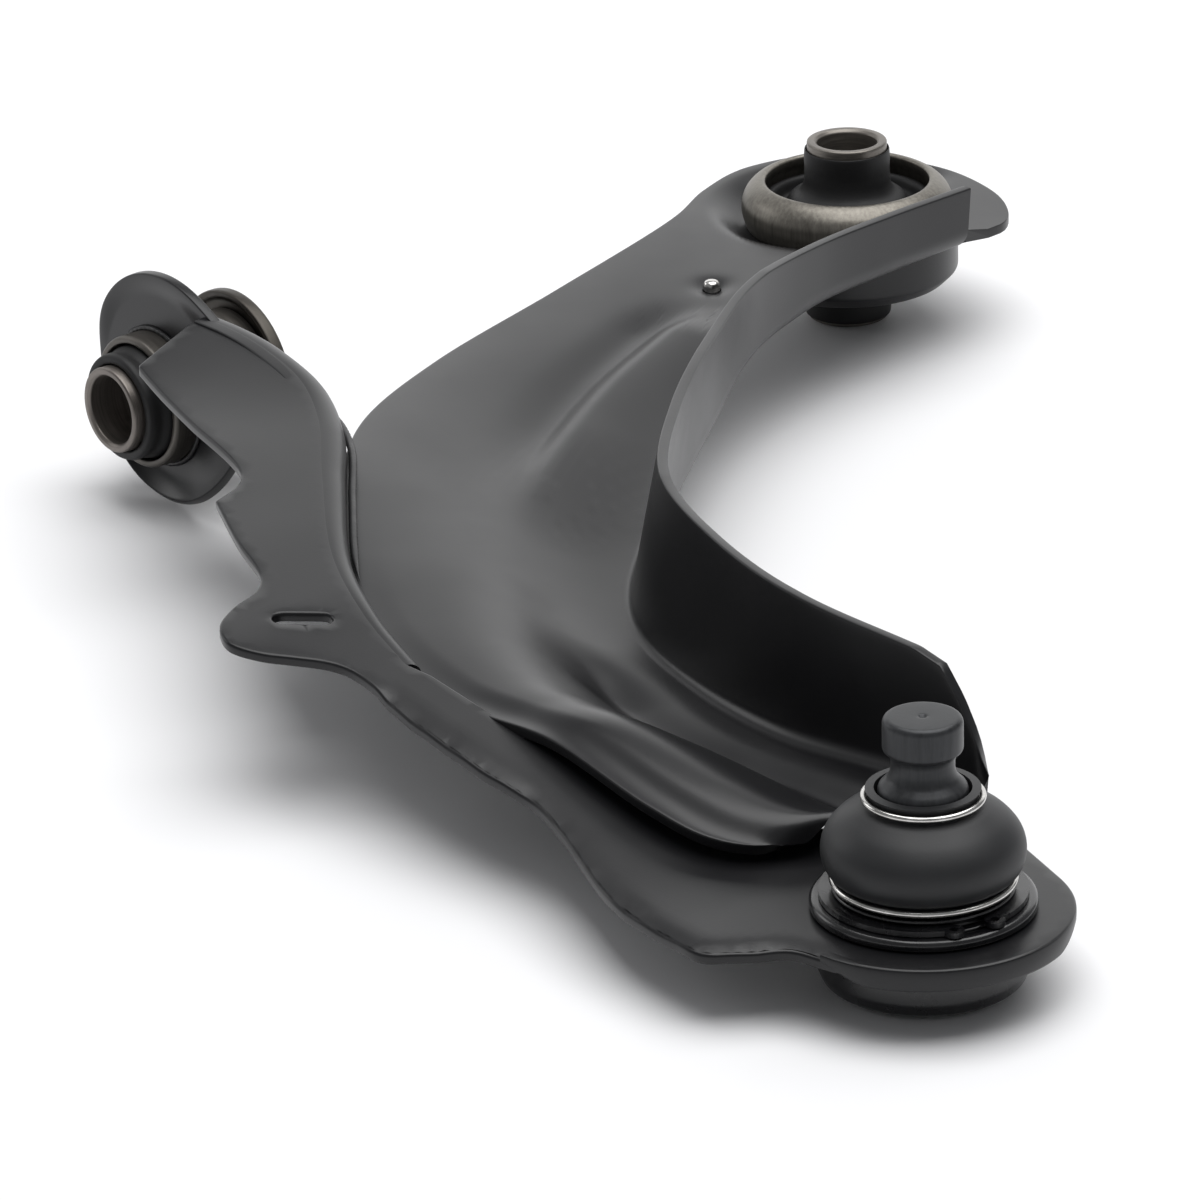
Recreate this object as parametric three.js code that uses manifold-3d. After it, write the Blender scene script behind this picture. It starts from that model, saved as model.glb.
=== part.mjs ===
// Front lower control arm, left-hand, pressed steel, with two rubber bushes and a ball joint.
// Frame while building: +X outboard (towards the ball joint), +Y rearward along the front
// bush's axis, +Z up, millimetres. The finished group is shifted so that its origin is at
// the centre of the underside of its bounding box.
import * as THREE from 'three';
import { mergeVertices } from 'three/addons/utils/BufferGeometryUtils.js';
import Module from 'manifold-3d';

const wasm = await Module();
wasm.setup();

// ---------------------------------------------------------------- driving dimensions
const SHEET = 3;            // thickness of both pressings
const GAP = 0.3;            // clearance between neighbouring solids
const ROUND = 24;           // facets round a turned piece

const REAR = { x: 35.7, y: 228 };       // rear bush axis (vertical)
const FRONT = { x: 13, z: 31 };         // front bush axis (along Y)
const BALL = { x: 402.3, y: -70.4 };    // ball joint axis (vertical)

const REAR_PLATE_Z = 36;    // top of the arm at the rear bush
const NOSE_Z = 20.4;        // top of the arm at the ball joint
const WALL_RISE_RADIUS = 7; // bend between the arm and its upright wall
const NOSE_RADIUS = 37.6;   // round end of the arm, about the ball joint axis
const NOSE_LIP = 6;         // depth of the turned-down rim of the nose

const REAR_SLEEVE = { length: 56.8, outer: 12.3, bore: 9.2, chamfer: 0.9 };
const REAR_SHELL = { outer: 31.6, mouth: 25, top: 44.6, bottom: 14.6, wall: 2.4 };
const REAR_HOLE = 30.6;

const FRONT_SLEEVE = { from: -35.5, to: 17.5, outer: 12.7, bore: 10.2, chamfer: 0.8 };
const FRONT_TUBE = { from: -26, to: 9.5, outer: 19.7, wall: 2.2 };
const FRONT_DISC = { at: 9.8, thickness: 2.6, outer: 25.2 };
const YOKE_Y = -16;         // mid plane of the upright yoke round the front tube

const BALL_RADIUS = 12;
const BALL_Z = 16;          // height of the ball's centre
const STUD_TOP = 71.2;
const STUD_HEAD = 10;       // radius of the clamped head
const HOUSING = { lower: 26.6, upper: 23.4, top: 26.6, mouth: 14, bore: 17.2 };
const COLLAR = { inner: 24, outer: 28.2, top: 23.6 };
const CIRCLIP = { inner: 22.2, outer: 26, from: 23.9, to: 25.3, eyelet: 2.6, gapDegrees: 26, facing: -12 };
const BOOT = { widest: 25.4, widestZ: 36.6, foot: 21.6, neck: 14.1, wall: 2.2 };
const LOWER_RING = { radius: 22.6, z: 28.3, wire: 0.9 };
const UPPER_RING = { radius: 14.7, z: 50, wire: 0.9 };

const SLOT = { x: 199, y: -106.6, length: 16, width: 6.2, angle: 56 };
const PIP = { x: 60.3, y: 152.3, radius: 2.6, height: 2 };

// ---------------------------------------------------------------- colours
const finish = (color, roughness, metalness) =>
  new THREE.MeshStandardMaterial({ color, roughness, metalness });
const BLACK_PAINT = finish(0x2b2b2d, 0.42, 0.3);
const BARE_STEEL = finish(0x6f6961, 0.45, 0.9);
const SLEEVE_STEEL = finish(0x8a837b, 0.4, 0.9);
const RUBBER = finish(0x17171a, 0.75, 0);
const BRIGHT_WIRE = finish(0xc9c8c4, 0.25, 1);
const DARK_STEEL = finish(0x3a3b3f, 0.45, 0.7);
const POLYMER = finish(0xd8d4c8, 0.5, 0);

// ---------------------------------------------------------------- small helpers
const rad = (degrees) => degrees * Math.PI / 180;
const lerp = (a, b, t) => a + (b - a) * t;
const ease = (t) => {
  const c = Math.min(1, Math.max(0, t));
  return c * c * (3 - 2 * c);
};
const curve3 = (points) =>
  new THREE.CatmullRomCurve3(points.map((p) => new THREE.Vector3(...p)), false, 'centripetal');

// A height that changes smoothly with x, through a few hand-set stations.
function profile(stations) {
  return (x) => {
    const last = stations.length - 1;
    if (x <= stations[0][0]) return stations[0][1];
    if (x >= stations[last][0]) return stations[last][1];
    let k = 0;
    while (stations[k + 1][0] < x) k += 1;
    const [x0, z0] = stations[k];
    const [x1, z1] = stations[k + 1];
    return lerp(z0, z1, (x - x0) / (x1 - x0));
  };
}

// Makes a closed solid from a grid of points on a sheet's middle surface: the grid is
// copied half a thickness up and down its own normals, and the four edges are closed.
function sheetSolid(rows, thickness) {
  const nr = rows.length;
  const nc = rows[0].length;
  const at = (i, j) => rows[Math.min(nr - 1, Math.max(0, i))][Math.min(nc - 1, Math.max(0, j))];
  const positions = [];
  for (const side of [0.5, -0.5]) {
    for (let i = 0; i < nr; i += 1) {
      for (let j = 0; j < nc; j += 1) {
        const along = at(i + 1, j).clone().sub(at(i - 1, j));
        const across = at(i, j + 1).clone().sub(at(i, j - 1));
        const normal = along.cross(across).normalize();
        const p = at(i, j).clone().addScaledVector(normal, side * thickness);
        positions.push(p.x, p.y, p.z);
      }
    }
  }
  const id = (side, i, j) => side * nr * nc + i * nc + j;
  const index = [];
  const quad = (a, b, c, d) => index.push(a, b, c, a, c, d);
  for (let i = 0; i < nr - 1; i += 1) {
    for (let j = 0; j < nc - 1; j += 1) {
      quad(id(0, i, j), id(0, i + 1, j), id(0, i + 1, j + 1), id(0, i, j + 1));
      quad(id(1, i, j), id(1, i, j + 1), id(1, i + 1, j + 1), id(1, i + 1, j));
    }
  }
  for (let i = 0; i < nr - 1; i += 1) {
    quad(id(0, i, 0), id(1, i, 0), id(1, i + 1, 0), id(0, i + 1, 0));
    quad(id(0, i, nc - 1), id(0, i + 1, nc - 1), id(1, i + 1, nc - 1), id(1, i, nc - 1));
  }
  for (let j = 0; j < nc - 1; j += 1) {
    quad(id(0, 0, j), id(0, 0, j + 1), id(1, 0, j + 1), id(1, 0, j));
    quad(id(0, nr - 1, j), id(1, nr - 1, j), id(1, nr - 1, j + 1), id(0, nr - 1, j + 1));
  }
  const geometry = new THREE.BufferGeometry();
  geometry.setAttribute('position', new THREE.Float32BufferAttribute(positions, 3));
  geometry.setIndex(index);
  return geometry;
}

// A turned solid about +Z from [radius, height] pairs that close on themselves.
function turned(points, segments = ROUND) {
  const ring = points.map(([r, z]) => new THREE.Vector2(r, z));
  ring.push(ring[0].clone());
  const geometry = new THREE.LatheGeometry(ring, segments);
  geometry.rotateX(Math.PI / 2);
  return facingOut(geometry);
}

// A turned solid about +Z whose profile starts and ends on the axis.
function turnedBar(points, segments = ROUND) {
  const line = points.map(([r, z]) => new THREE.Vector2(r, z));
  const geometry = new THREE.LatheGeometry(line, segments);
  geometry.rotateX(Math.PI / 2);
  return facingOut(geometry);
}

// Turns a closed geometry the right way out, by the sign of its volume.
function facingOut(geometry) {
  const merged = joined(geometry);
  const p = merged.getAttribute('position');
  const ids = merged.getIndex().array;
  const a = new THREE.Vector3();
  const b = new THREE.Vector3();
  const c = new THREE.Vector3();
  let volume = 0;
  for (let k = 0; k < ids.length; k += 3) {
    a.fromBufferAttribute(p, ids[k]);
    b.fromBufferAttribute(p, ids[k + 1]);
    c.fromBufferAttribute(p, ids[k + 2]);
    volume += a.dot(b.cross(c));
  }
  if (volume < 0) {
    for (let k = 0; k < ids.length; k += 3) {
      [ids[k + 1], ids[k + 2]] = [ids[k + 2], ids[k + 1]];
    }
  }
  return merged;
}

// Joins points that coincide, and drops the triangles that this leaves empty.
function joined(geometry) {
  const bare = geometry.clone();
  bare.deleteAttribute('normal');
  bare.deleteAttribute('uv');
  const merged = mergeVertices(bare, 1e-4);
  const ids = merged.getIndex().array;
  const kept = [];
  for (let k = 0; k < ids.length; k += 3) {
    const [i, j, l] = [ids[k], ids[k + 1], ids[k + 2]];
    if (i !== j && j !== l && l !== i) kept.push(i, j, l);
  }
  merged.setIndex(kept);
  return merged;
}

function toSolid(geometry) {
  const g = facingOut(geometry);
  return new wasm.Manifold(new wasm.Mesh({
    numProp: 3,
    vertProperties: new Float32Array(g.getAttribute('position').array),
    triVerts: new Uint32Array(g.getIndex().array),
  }));
}

function toGeometry(solid) {
  const mesh = solid.getMesh();
  const geometry = new THREE.BufferGeometry();
  geometry.setAttribute('position', new THREE.BufferAttribute(mesh.vertProperties, 3));
  geometry.setIndex(new THREE.BufferAttribute(mesh.triVerts, 1));
  return geometry;
}

// A prism along Z from an outline, used to cut sheets to shape.
function prism(shape, from, to, curveSegments = 10) {
  const geometry = new THREE.ExtrudeGeometry(shape, {
    depth: to - from,
    bevelEnabled: false,
    curveSegments,
  });
  geometry.translate(0, 0, from);
  return geometry;
}

function disc(x, y, radius, from, to) {
  const geometry = new THREE.CylinderGeometry(radius, radius, to - from, ROUND);
  geometry.rotateX(Math.PI / 2);
  geometry.translate(x, y, (from + to) / 2);
  return geometry;
}

const group = new THREE.Group();
function addMesh(name, geometry, material, place = [0, 0, 0], turn = [0, 0, 0]) {
  const mesh = new THREE.Mesh(geometry, material);
  mesh.name = name;
  mesh.position.set(...place);
  mesh.rotation.set(...turn);
  group.add(mesh);
}

// ---------------------------------------------------------------- main pressing
// The outer edge of the main pressing, from the tip behind the rear bush, round the bush,
// along the free edge, then beneath the front plate's shoulder and over it to the tongue.
// The third number is the height of the sheet's top face.
const OUTER_EDGE = curve3([
  [82, 244, 36], [81, 251, 36], [75, 258.5, 36], [58, 268, 36], [28, 271, 36], [-2, 257, 36], [-11, 228, 36], [-4, 204, 36],
  [10, 180, 36.5], [36, 113, 37], [61, 47, 38], [88, 0, 40], [118, -31, 40.5], [155, -62, 38.5],
  [195, -85, 35.2], [238, -96, 33.4], [262, -96, 34], [288, -95, 35.4], [328, -96, 30.6],
  [347, -93, 27.6], [357, -86, 26.3], [361, -76, 26],
]);
// The foot of the upright wall round the inner, concave side of the arm.
const WALL_LINE = curve3([
  [86, 232, 36], [90, 198, 36], [97, 163, 36.2], [113, 124, 33.5], [140, 86, 29],
  [180, 38, 24], [222, -1, 21], [262, -18, 20.5], [304, -27, 22], [345, -25.5, 24.9],
  [374, -23, 25.2],
]);
const WALL_TOP = profile([
  [86, 52.7], [109, 57], [152, 59.5], [222, 62], [304, 61],
  [350, 59.2], [359, 57], [365, 49.5], [370, 41], [374, 31],
]);
const SHELL_ROWS = 48;
const SHELL_ACROSS = 9;
const BEND_STEPS = 3;
const WALL_STEPS = 2;
const RIDGE_HEIGHT = 5;

// The broad raised rib beside the wall: it starts at the rear bush, and ends as the tongue.
function ridge(s, t) {
  const start = ease((s - 0.3) / 0.15);
  const centre = lerp(0.62, 0.26, ease((s - 0.45) / 0.5));
  const width = lerp(0.3, 0.34, s);
  return RIDGE_HEIGHT * start * Math.exp(-(((t - centre) / width) ** 2) * 2);
}

function shellRows() {
  const rows = [];
  for (let i = 0; i < SHELL_ROWS; i += 1) {
    const s = i / (SHELL_ROWS - 1);
    const outer = OUTER_EDGE.getPointAt(s);
    const foot = WALL_LINE.getPointAt(s);
    const tangent = WALL_LINE.getTangentAt(s).setZ(0).normalize();
    const towardsGap = new THREE.Vector3(-tangent.y, tangent.x, 0);
    const bendStart = foot.clone().addScaledVector(towardsGap, -WALL_RISE_RADIUS);
    const row = [];
    for (let j = 0; j < SHELL_ACROSS; j += 1) {
      const t = j / SHELL_ACROSS;
      const p = outer.clone().lerp(bendStart, t);
      p.z = lerp(outer.z, bendStart.z, ease(t)) + ridge(s, t) * ease(t * 6) - SHEET / 2;
      row.push(p);
    }
    for (let k = 0; k <= BEND_STEPS; k += 1) {
      const a = (k / BEND_STEPS) * (Math.PI / 2);
      const p = bendStart.clone().addScaledVector(towardsGap, WALL_RISE_RADIUS * Math.sin(a));
      p.z = bendStart.z - SHEET / 2 + WALL_RISE_RADIUS * (1 - Math.cos(a));
      row.push(p);
    }
    const wallFoot = row[row.length - 1];
    const top = Math.max(WALL_TOP(foot.x), wallFoot.z + 4);
    for (let k = 1; k <= WALL_STEPS; k += 1) {
      row.push(new THREE.Vector3(wallFoot.x, wallFoot.y, lerp(wallFoot.z, top, k / WALL_STEPS)));
    }
    rows.push(row);
  }
  return rows;
}

function mainShell() {
  const sheet = toSolid(sheetSolid(shellRows(), SHEET));
  const hole = toSolid(disc(REAR.x, REAR.y, REAR_HOLE, 20, 70));
  const pipHole = toSolid(disc(PIP.x, PIP.y, PIP.radius + GAP, 20, 70));
  return toGeometry(sheet.subtract(hole).subtract(pipHole));
}

// Small bright domed pip that stands in a pierced hole beside the start of the rib.
function locatingPip() {
  const { radius, height } = PIP;
  const foot = REAR_PLATE_Z - SHEET;
  const rim = REAR_PLATE_Z + height;
  return turnedBar([
    [0, foot], [radius - 0.3, foot], [radius, foot + 0.4], [radius, rim - 1.2],
    [radius * 0.7, rim - 0.3], [0, rim],
  ], 12);
}

// ---------------------------------------------------------------- front plate
// Height of the front plate's top face, which falls from the front bush to the nose.
const PLATE_TOP = profile([
  [30, 59.5], [48, 57.5], [90, 54.6], [123, 52], [160, 48.6], [199, 44.4], [225, 40], [250, 36],
  [275, 32.6], [300, 28.5], [325, 24.6], [345, 21.6], [362, NOSE_Z], [450, NOSE_Z],
]);
const SHOULDER_LINE = curve3([
  [44, -21, 0], [64, -20, 0], [88, -21, 0], [106, -29, 0], [135, -50, 0], [176, -78, 0],
  [206, -91, 0], [232, -97.5, 0],
]);
const SHOULDER_RADIUS = 6;
// Height of the shoulder's lower edge, just clear of the main pressing beneath it.
const SHOULDER_FOOT = profile([[44, 41], [88, 42], [118, 42.4], [155, 40.4], [195, 37.2], [232, 34.8]]);

// The plate's free front edge: round the ear, along the arm, and round the lobe to the nose.
const FRONT_EDGE = curve3([
  [131, -84, 0], [155, -94.5, 0], [174, -101.5, 0], [180, -107.5, 0], [184, -118, 0],
  [190, -127, 0], [199, -131, 0], [207, -127.5, 0], [214, -120.5, 0], [220, -114.8, 0],
  [227, -112, 0], [256, -113.6, 0], [282, -113.8, 0], [302, -112.3, 0], [317, -115.6, 0],
  [334, -121.3, 0], [350, -125.8, 0], [374, -127.6, 0], [385, -127, 0], [392, -119, 0],
  [398, -110.5, 0], [410, -107, 0],
]);

function plateOutline() {
  const shape = new THREE.Shape();
  shape.moveTo(47.5, -21);
  shape.lineTo(47.6, -49);
  shape.lineTo(123, -68.5);
  shape.quadraticCurveTo(128, -74, 131, -84);
  for (const p of FRONT_EDGE.getSpacedPoints(40)) shape.lineTo(p.x, p.y);
  const start = Math.atan2(-107 - BALL.y, 410 - BALL.x);
  shape.absarc(BALL.x, BALL.y, NOSE_RADIUS, start, rad(75), false);
  shape.lineTo(392, -28);
  shape.lineTo(354, -34);
  shape.lineTo(352, -62);
  shape.quadraticCurveTo(340, -80, 300, -88);
  shape.lineTo(288, -98.5);
  shape.lineTo(232, -98.5);
  const edge = SHOULDER_LINE.getSpacedPoints(10).reverse();
  for (const p of edge) shape.lineTo(p.x, p.y);
  return shape;
}

// The flat of the plate: a ribbon that follows PLATE_TOP, extruded across the arm.
function plateRibbon() {
  const stations = [];
  for (let x = 40; x <= 455; x += 15) stations.push(x);
  const shape = new THREE.Shape();
  shape.moveTo(stations[0], PLATE_TOP(stations[0]));
  for (const x of stations) shape.lineTo(x, PLATE_TOP(x));
  for (const x of stations.reverse()) shape.lineTo(x, PLATE_TOP(x) - SHEET);
  const geometry = new THREE.ExtrudeGeometry(shape, { depth: 160, bevelEnabled: false });
  geometry.rotateX(Math.PI / 2);
  return geometry;
}

// The shoulder that turns down along the plate's inner side, deep at the front bush.
function shoulderRows() {
  const rows = [];
  const count = 18;
  for (let i = 0; i < count; i += 1) {
    const s = i / (count - 1);
    const p = SHOULDER_LINE.getPointAt(s);
    const tangent = SHOULDER_LINE.getTangentAt(s).setZ(0).normalize();
    const inward = new THREE.Vector3(-tangent.y, tangent.x, 0);
    const level = PLATE_TOP(p.x) - SHEET / 2;
    const radius = lerp(SHOULDER_RADIUS, 2.4, ease(s));
    const row = [p.clone().addScaledVector(inward, -4).setZ(level)];
    for (let k = 0; k <= 3; k += 1) {
      const a = (k / 3) * (Math.PI / 2);
      const q = p.clone().addScaledVector(inward, radius * Math.sin(a));
      row.push(q.setZ(level - radius * (1 - Math.cos(a))));
    }
    const foot = row[row.length - 1];
    row.push(foot.clone().setZ(Math.min(foot.z - 0.6, SHOULDER_FOOT(p.x))));
    rows.push(row);
  }
  return rows;
}

// The upright yoke round the front bush's tube: a round sheet that stands across the
// tube's axis, rises to a blunt fin, and is dished forward below like a scoop.
const YOKE_RADIUS = [
  [0, 40], [28, 50], [50, 41], [90, 37], [135, 33], [180, 27.5], [225, 26], [270, 29.6], [300, 33],
  [360, 40],
];
const yokeRadius = profile(YOKE_RADIUS);
const YOKE_SCOOP = 4;
function yokeRows() {
  const rows = [];
  const count = 33;
  const inner = FRONT_TUBE.outer + 2 * GAP;
  for (let i = 0; i < count; i += 1) {
    const angle = (i / (count - 1)) * 360;
    const row = [];
    for (let k = 0; k <= 4; k += 1) {
      const r = lerp(inner, yokeRadius(angle), k / 4);
      const below = ease(-Math.sin(rad(angle)) * 1.3);
      const scoop = -YOKE_SCOOP * below * (k / 4) ** 2;
      row.push(new THREE.Vector3(
        FRONT.x + r * Math.cos(rad(angle)),
        YOKE_Y + scoop,
        FRONT.z + r * Math.sin(rad(angle)),
      ));
    }
    rows.push(row);
  }
  return rows;
}

function annularSector(inner, outer, from, to) {
  const shape = new THREE.Shape();
  shape.absarc(0, 0, outer, from, to, false);
  shape.absarc(0, 0, inner, to, from, true);
  return shape;
}

function slotShape(length, width) {
  const half = (length - width) / 2;
  const shape = new THREE.Shape();
  shape.absarc(half, 0, width / 2, -Math.PI / 2, Math.PI / 2, false);
  shape.absarc(-half, 0, width / 2, Math.PI / 2, Math.PI * 1.5, false);
  return shape;
}

function frontPlate() {
  const flat = toSolid(plateRibbon()).intersect(toSolid(prism(plateOutline(), 0, 80)));
  const shoulder = toSolid(sheetSolid(shoulderRows(), SHEET));
  const lip = prism(annularSector(NOSE_RADIUS - SHEET, NOSE_RADIUS, rad(-74), rad(30)), 0, NOSE_LIP - 1);
  lip.translate(BALL.x, BALL.y, NOSE_Z - NOSE_LIP);
  const yoke = toSolid(sheetSolid(yokeRows(), SHEET));
  const slot = prism(slotShape(SLOT.length, SLOT.width), 30, 60);
  slot.rotateZ(rad(SLOT.angle));
  slot.translate(SLOT.x, SLOT.y, 0);
  const ballHole = toSolid(disc(BALL.x, BALL.y, COLLAR.inner, 0, 40));
  const sheet = flat.add(shoulder).add(toSolid(lip)).add(yoke);
  return toGeometry(sheet.subtract(toSolid(slot)).subtract(ballHole));
}

// ---------------------------------------------------------------- rear bush
// Pressed ring barrel: it fills the arm's hole, swells above the arm, and rolls over its rubber.
function rearOuterShell() {
  const { outer, mouth, top, bottom, wall } = REAR_SHELL;
  const fit = REAR_HOLE - GAP;
  return turned([
    [fit - wall, bottom], [fit - 0.8, bottom], [fit, bottom + 1], [fit, REAR_PLATE_Z + 0.3],
    [outer, REAR_PLATE_Z + 2], [outer - 0.4, REAR_PLATE_Z + 4.4], [outer - 2, top - 2],
    [outer - 4, top - 0.5], [mouth + 1, top], [mouth, top - 0.6], [mouth + 0.4, top - wall],
    [outer - wall - 2.4, REAR_PLATE_Z + 4], [fit - wall, REAR_PLATE_Z],
  ]);
}

// Ring welded under the arm that backs up the barrel.
function rearCollar() {
  const underside = REAR_PLATE_Z - SHEET - GAP;
  const inner = REAR_HOLE;
  return turned([
    [inner, 14.2], [26.5, 13.6], [26.5, 12.6], [30.4, 13], [34, 16.6], [34, underside - 1],
    [33.6, underside], [inner, underside],
  ]);
}

function rearRubber() {
  const inside = REAR_SLEEVE.outer + GAP;
  const outside = REAR_HOLE - 2 * GAP - REAR_SHELL.wall;
  return turned([
    [inside, 4], [13.9, 4], [14.2, 12], [17.5, 15], [20.5, 19], [24, 18], [outside, 15],
    [outside, 35.5], [outside - 1.6, 38.4], [outside - 4.2, 38.6], [22.6, 34.5], [20.2, 35.2],
    [18.6, 40.6], [16, 42.4], [13.7, 45], [13.5, 50], [14.1, 53.6], [inside, 53.6],
  ]);
}

// A plain steel tube about +Z with chamfered bore mouths.
function sleeve({ outer, bore, chamfer }, from, to) {
  return turned([
    [bore, from + chamfer], [bore + chamfer, from], [outer - 0.4, from], [outer, from + 0.4],
    [outer, to - 0.4], [outer - 0.4, to], [bore + chamfer, to], [bore, to - chamfer],
  ]);
}

// ---------------------------------------------------------------- front bush
function frontTube() {
  const { from, to, outer, wall } = FRONT_TUBE;
  return turned([
    [outer - wall, from], [outer - 0.7, from], [outer, from + 0.7], [outer, to],
    [outer - wall, to],
  ]);
}

// Dished stop washer at the tube's far end, with its rim turned back.
function frontDisc() {
  const { at, thickness, outer } = FRONT_DISC;
  const inner = FRONT_TUBE.outer - FRONT_TUBE.wall;
  return turned([
    [inner, at], [outer - 3.2, at], [outer - 2, at - 1.6], [outer - 0.5, at - 2], [outer, at - 1.2],
    [outer, at + thickness - 1], [outer - 1, at + thickness], [inner, at + thickness],
  ]);
}

function frontRubber() {
  const inside = FRONT_SLEEVE.outer + GAP;
  const outside = FRONT_TUBE.outer - FRONT_TUBE.wall - GAP;
  return turned([
    [inside, -32.6], [15.4, -32.6], [16, -31], [15.6, -28], [16.8, -25.5], [16.8, -22],
    [outside - 1.6, -20.4], [outside, -18.5], [outside, 10], [outside - 1.4, 12], [14.6, 12.8],
    [14.4, 13.6], [inside, 13.6],
  ]);
}

// ---------------------------------------------------------------- ball joint
function ballCollar() {
  const foot = NOSE_Z + GAP;
  const { inner, outer, top } = COLLAR;
  return turned([
    [inner, foot], [outer, foot], [outer + 0.2, top - 1], [outer - 0.6, top], [inner + 0.8, top],
    [inner, top - 0.8],
  ]);
}

function ballHousing() {
  const { lower, upper, top, mouth, bore } = HOUSING;
  const underPlate = NOSE_Z - SHEET - GAP;
  const groove = CIRCLIP.inner - 1.2;
  return turned([
    [21, 3.6], [21, 0.5], [23, 0.8], [25.4, 2.4], [lower, 5.2], [lower, underPlate - 2],
    [lower - 1.4, underPlate], [upper, underPlate], [upper, 23.6], [groove, 23.6], [groove, 25.6],
    [upper - 0.6, 25.6], [upper - 0.6, top], [mouth + 0.6, top],
    [mouth, top - 0.6], [mouth, 24.2], [bore, 24.2], [bore, 3.6],
  ]);
}

// Plastic cup that holds the ball: spherical inside, open at the top for the stud.
function ballSeat() {
  const cup = BALL_RADIUS + GAP;
  const outside = HOUSING.bore - GAP;
  const points = [[outside, 4.4], [outside, 23.8], [13.4, 23.8]];
  const upper = Math.asin(5.4 / cup);
  const lower = -Math.asin(9.6 / cup);
  for (let k = 0; k <= 6; k += 1) {
    const a = lerp(upper, lower, k / 6);
    points.push([cup * Math.cos(a), BALL_Z + cup * Math.sin(a)]);
  }
  points.push([8, 4.4]);
  return turned(points);
}

function ballStud() {
  const neckRadius = 6.6;
  const join = Math.acos(neckRadius / BALL_RADIUS);
  const points = [];
  for (let k = 0; k <= 10; k += 1) {
    const a = lerp(-Math.PI / 2, join, k / 10);
    points.push([k === 0 ? 0 : BALL_RADIUS * Math.cos(a), BALL_Z + BALL_RADIUS * Math.sin(a)]);
  }
  points.push(
    [neckRadius, 27], [10.2, 47], [11.4, 51.4], [10.9, 53], [8.6, 55.2], [7.9, 57.4],
    [7.9, 60], [8.6, 61.8], [STUD_HEAD, 62.6], [STUD_HEAD, STUD_TOP - 1.4],
    [STUD_HEAD - 1.2, STUD_TOP], [0, STUD_TOP],
  );
  return turnedBar(points);
}

function endCap() {
  return turnedBar([[0, 0], [15, 0], [17.5, 0.8], [20.7, 1.2], [20.7, 3.3], [0, 3.3]]);
}

// Open spring ring with an eyelet at each end.
function circlip() {
  const { inner, outer, from, to, eyelet, gapDegrees, facing } = CIRCLIP;
  const begin = rad(facing + gapDegrees / 2);
  const end = rad(facing + 360 - gapDegrees / 2);
  let solid = toSolid(prism(annularSector(inner, outer, begin, end), from, to, 24));
  for (const a of [begin, end]) {
    const r = outer - 0.6;
    solid = solid.add(toSolid(disc(r * Math.cos(a), r * Math.sin(a), eyelet, from, to)));
    solid = solid.subtract(toSolid(disc(r * Math.cos(a), r * Math.sin(a), 1.1, from - 1, to + 1)));
  }
  return toGeometry(solid);
}

// Rubber dust boot: a squat bulb, open at its foot and at its neck.
function dustBoot() {
  const { widest, widestZ, foot, neck, wall } = BOOT;
  return turned([
    [foot - wall - 0.2, 27], [foot - 0.4, 27], [foot, 29.2], [foot + 1.6, 30], [24.6, 32.6],
    [widest, widestZ], [24.2, 40.6], [20.8, 44.8], [16.4, 47.6], [neck - 0.4, 48.8],
    [neck - 0.4, 51.4], [neck, 52.6], [12, 52.6], [11.9, 51.2], [12, 48.6], [15, 45.8],
    [19.2, 42.8], [22, 39.4], [widest - wall, widestZ], [22.4, 33.4], [20, 31], [foot - wall - 0.2, 30],
  ]);
}

function wireRing({ radius, wire }) {
  return facingOut(new THREE.TorusGeometry(radius, wire, 6, ROUND));
}

// ---------------------------------------------------------------- weld beads
// A fillet bead round a tube; a negative size lays it below the given height.
function ringBead(radius, z, size) {
  const width = Math.abs(size);
  return turned([
    [radius, z], [radius + width, z], [radius + width * 0.8, z + size * 0.5],
    [radius + width * 0.4, z + size * 0.85], [radius, z + size],
  ]);
}

// A bead with a half-round section, laid along a curve.
function bead(points, radius, steps) {
  const section = new THREE.Shape();
  section.absarc(0, 0, radius, 0, Math.PI * 2, false);
  const geometry = new THREE.ExtrudeGeometry(section, {
    steps,
    curveSegments: 4,
    bevelEnabled: false,
    extrudePath: curve3(points),
  });
  return facingOut(geometry);
}

// The seam between the plate's shoulder and the main pressing beneath it.
function shoulderBead() {
  const size = 1.3;
  const points = [];
  for (let s = 0.12; s < 0.8; s += 0.11) {
    const p = SHOULDER_LINE.getPointAt(s);
    const tangent = SHOULDER_LINE.getTangentAt(s).setZ(0).normalize();
    const reach = lerp(SHOULDER_RADIUS, 2.4, ease(s)) + SHEET / 2 + 2 * GAP + size;
    points.push([p.x - tangent.y * reach, p.y + tangent.x * reach, SHOULDER_FOOT(p.x) + 2 * size]);
  }
  return bead(points, size, 20);
}

// ---------------------------------------------------------------- assembly
const alongY = [-Math.PI / 2, 0, 0];
const rearAt = [REAR.x, REAR.y, 0];
const frontAt = [FRONT.x, 0, FRONT.z];
const ballAt = [BALL.x, BALL.y, 0];

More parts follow.
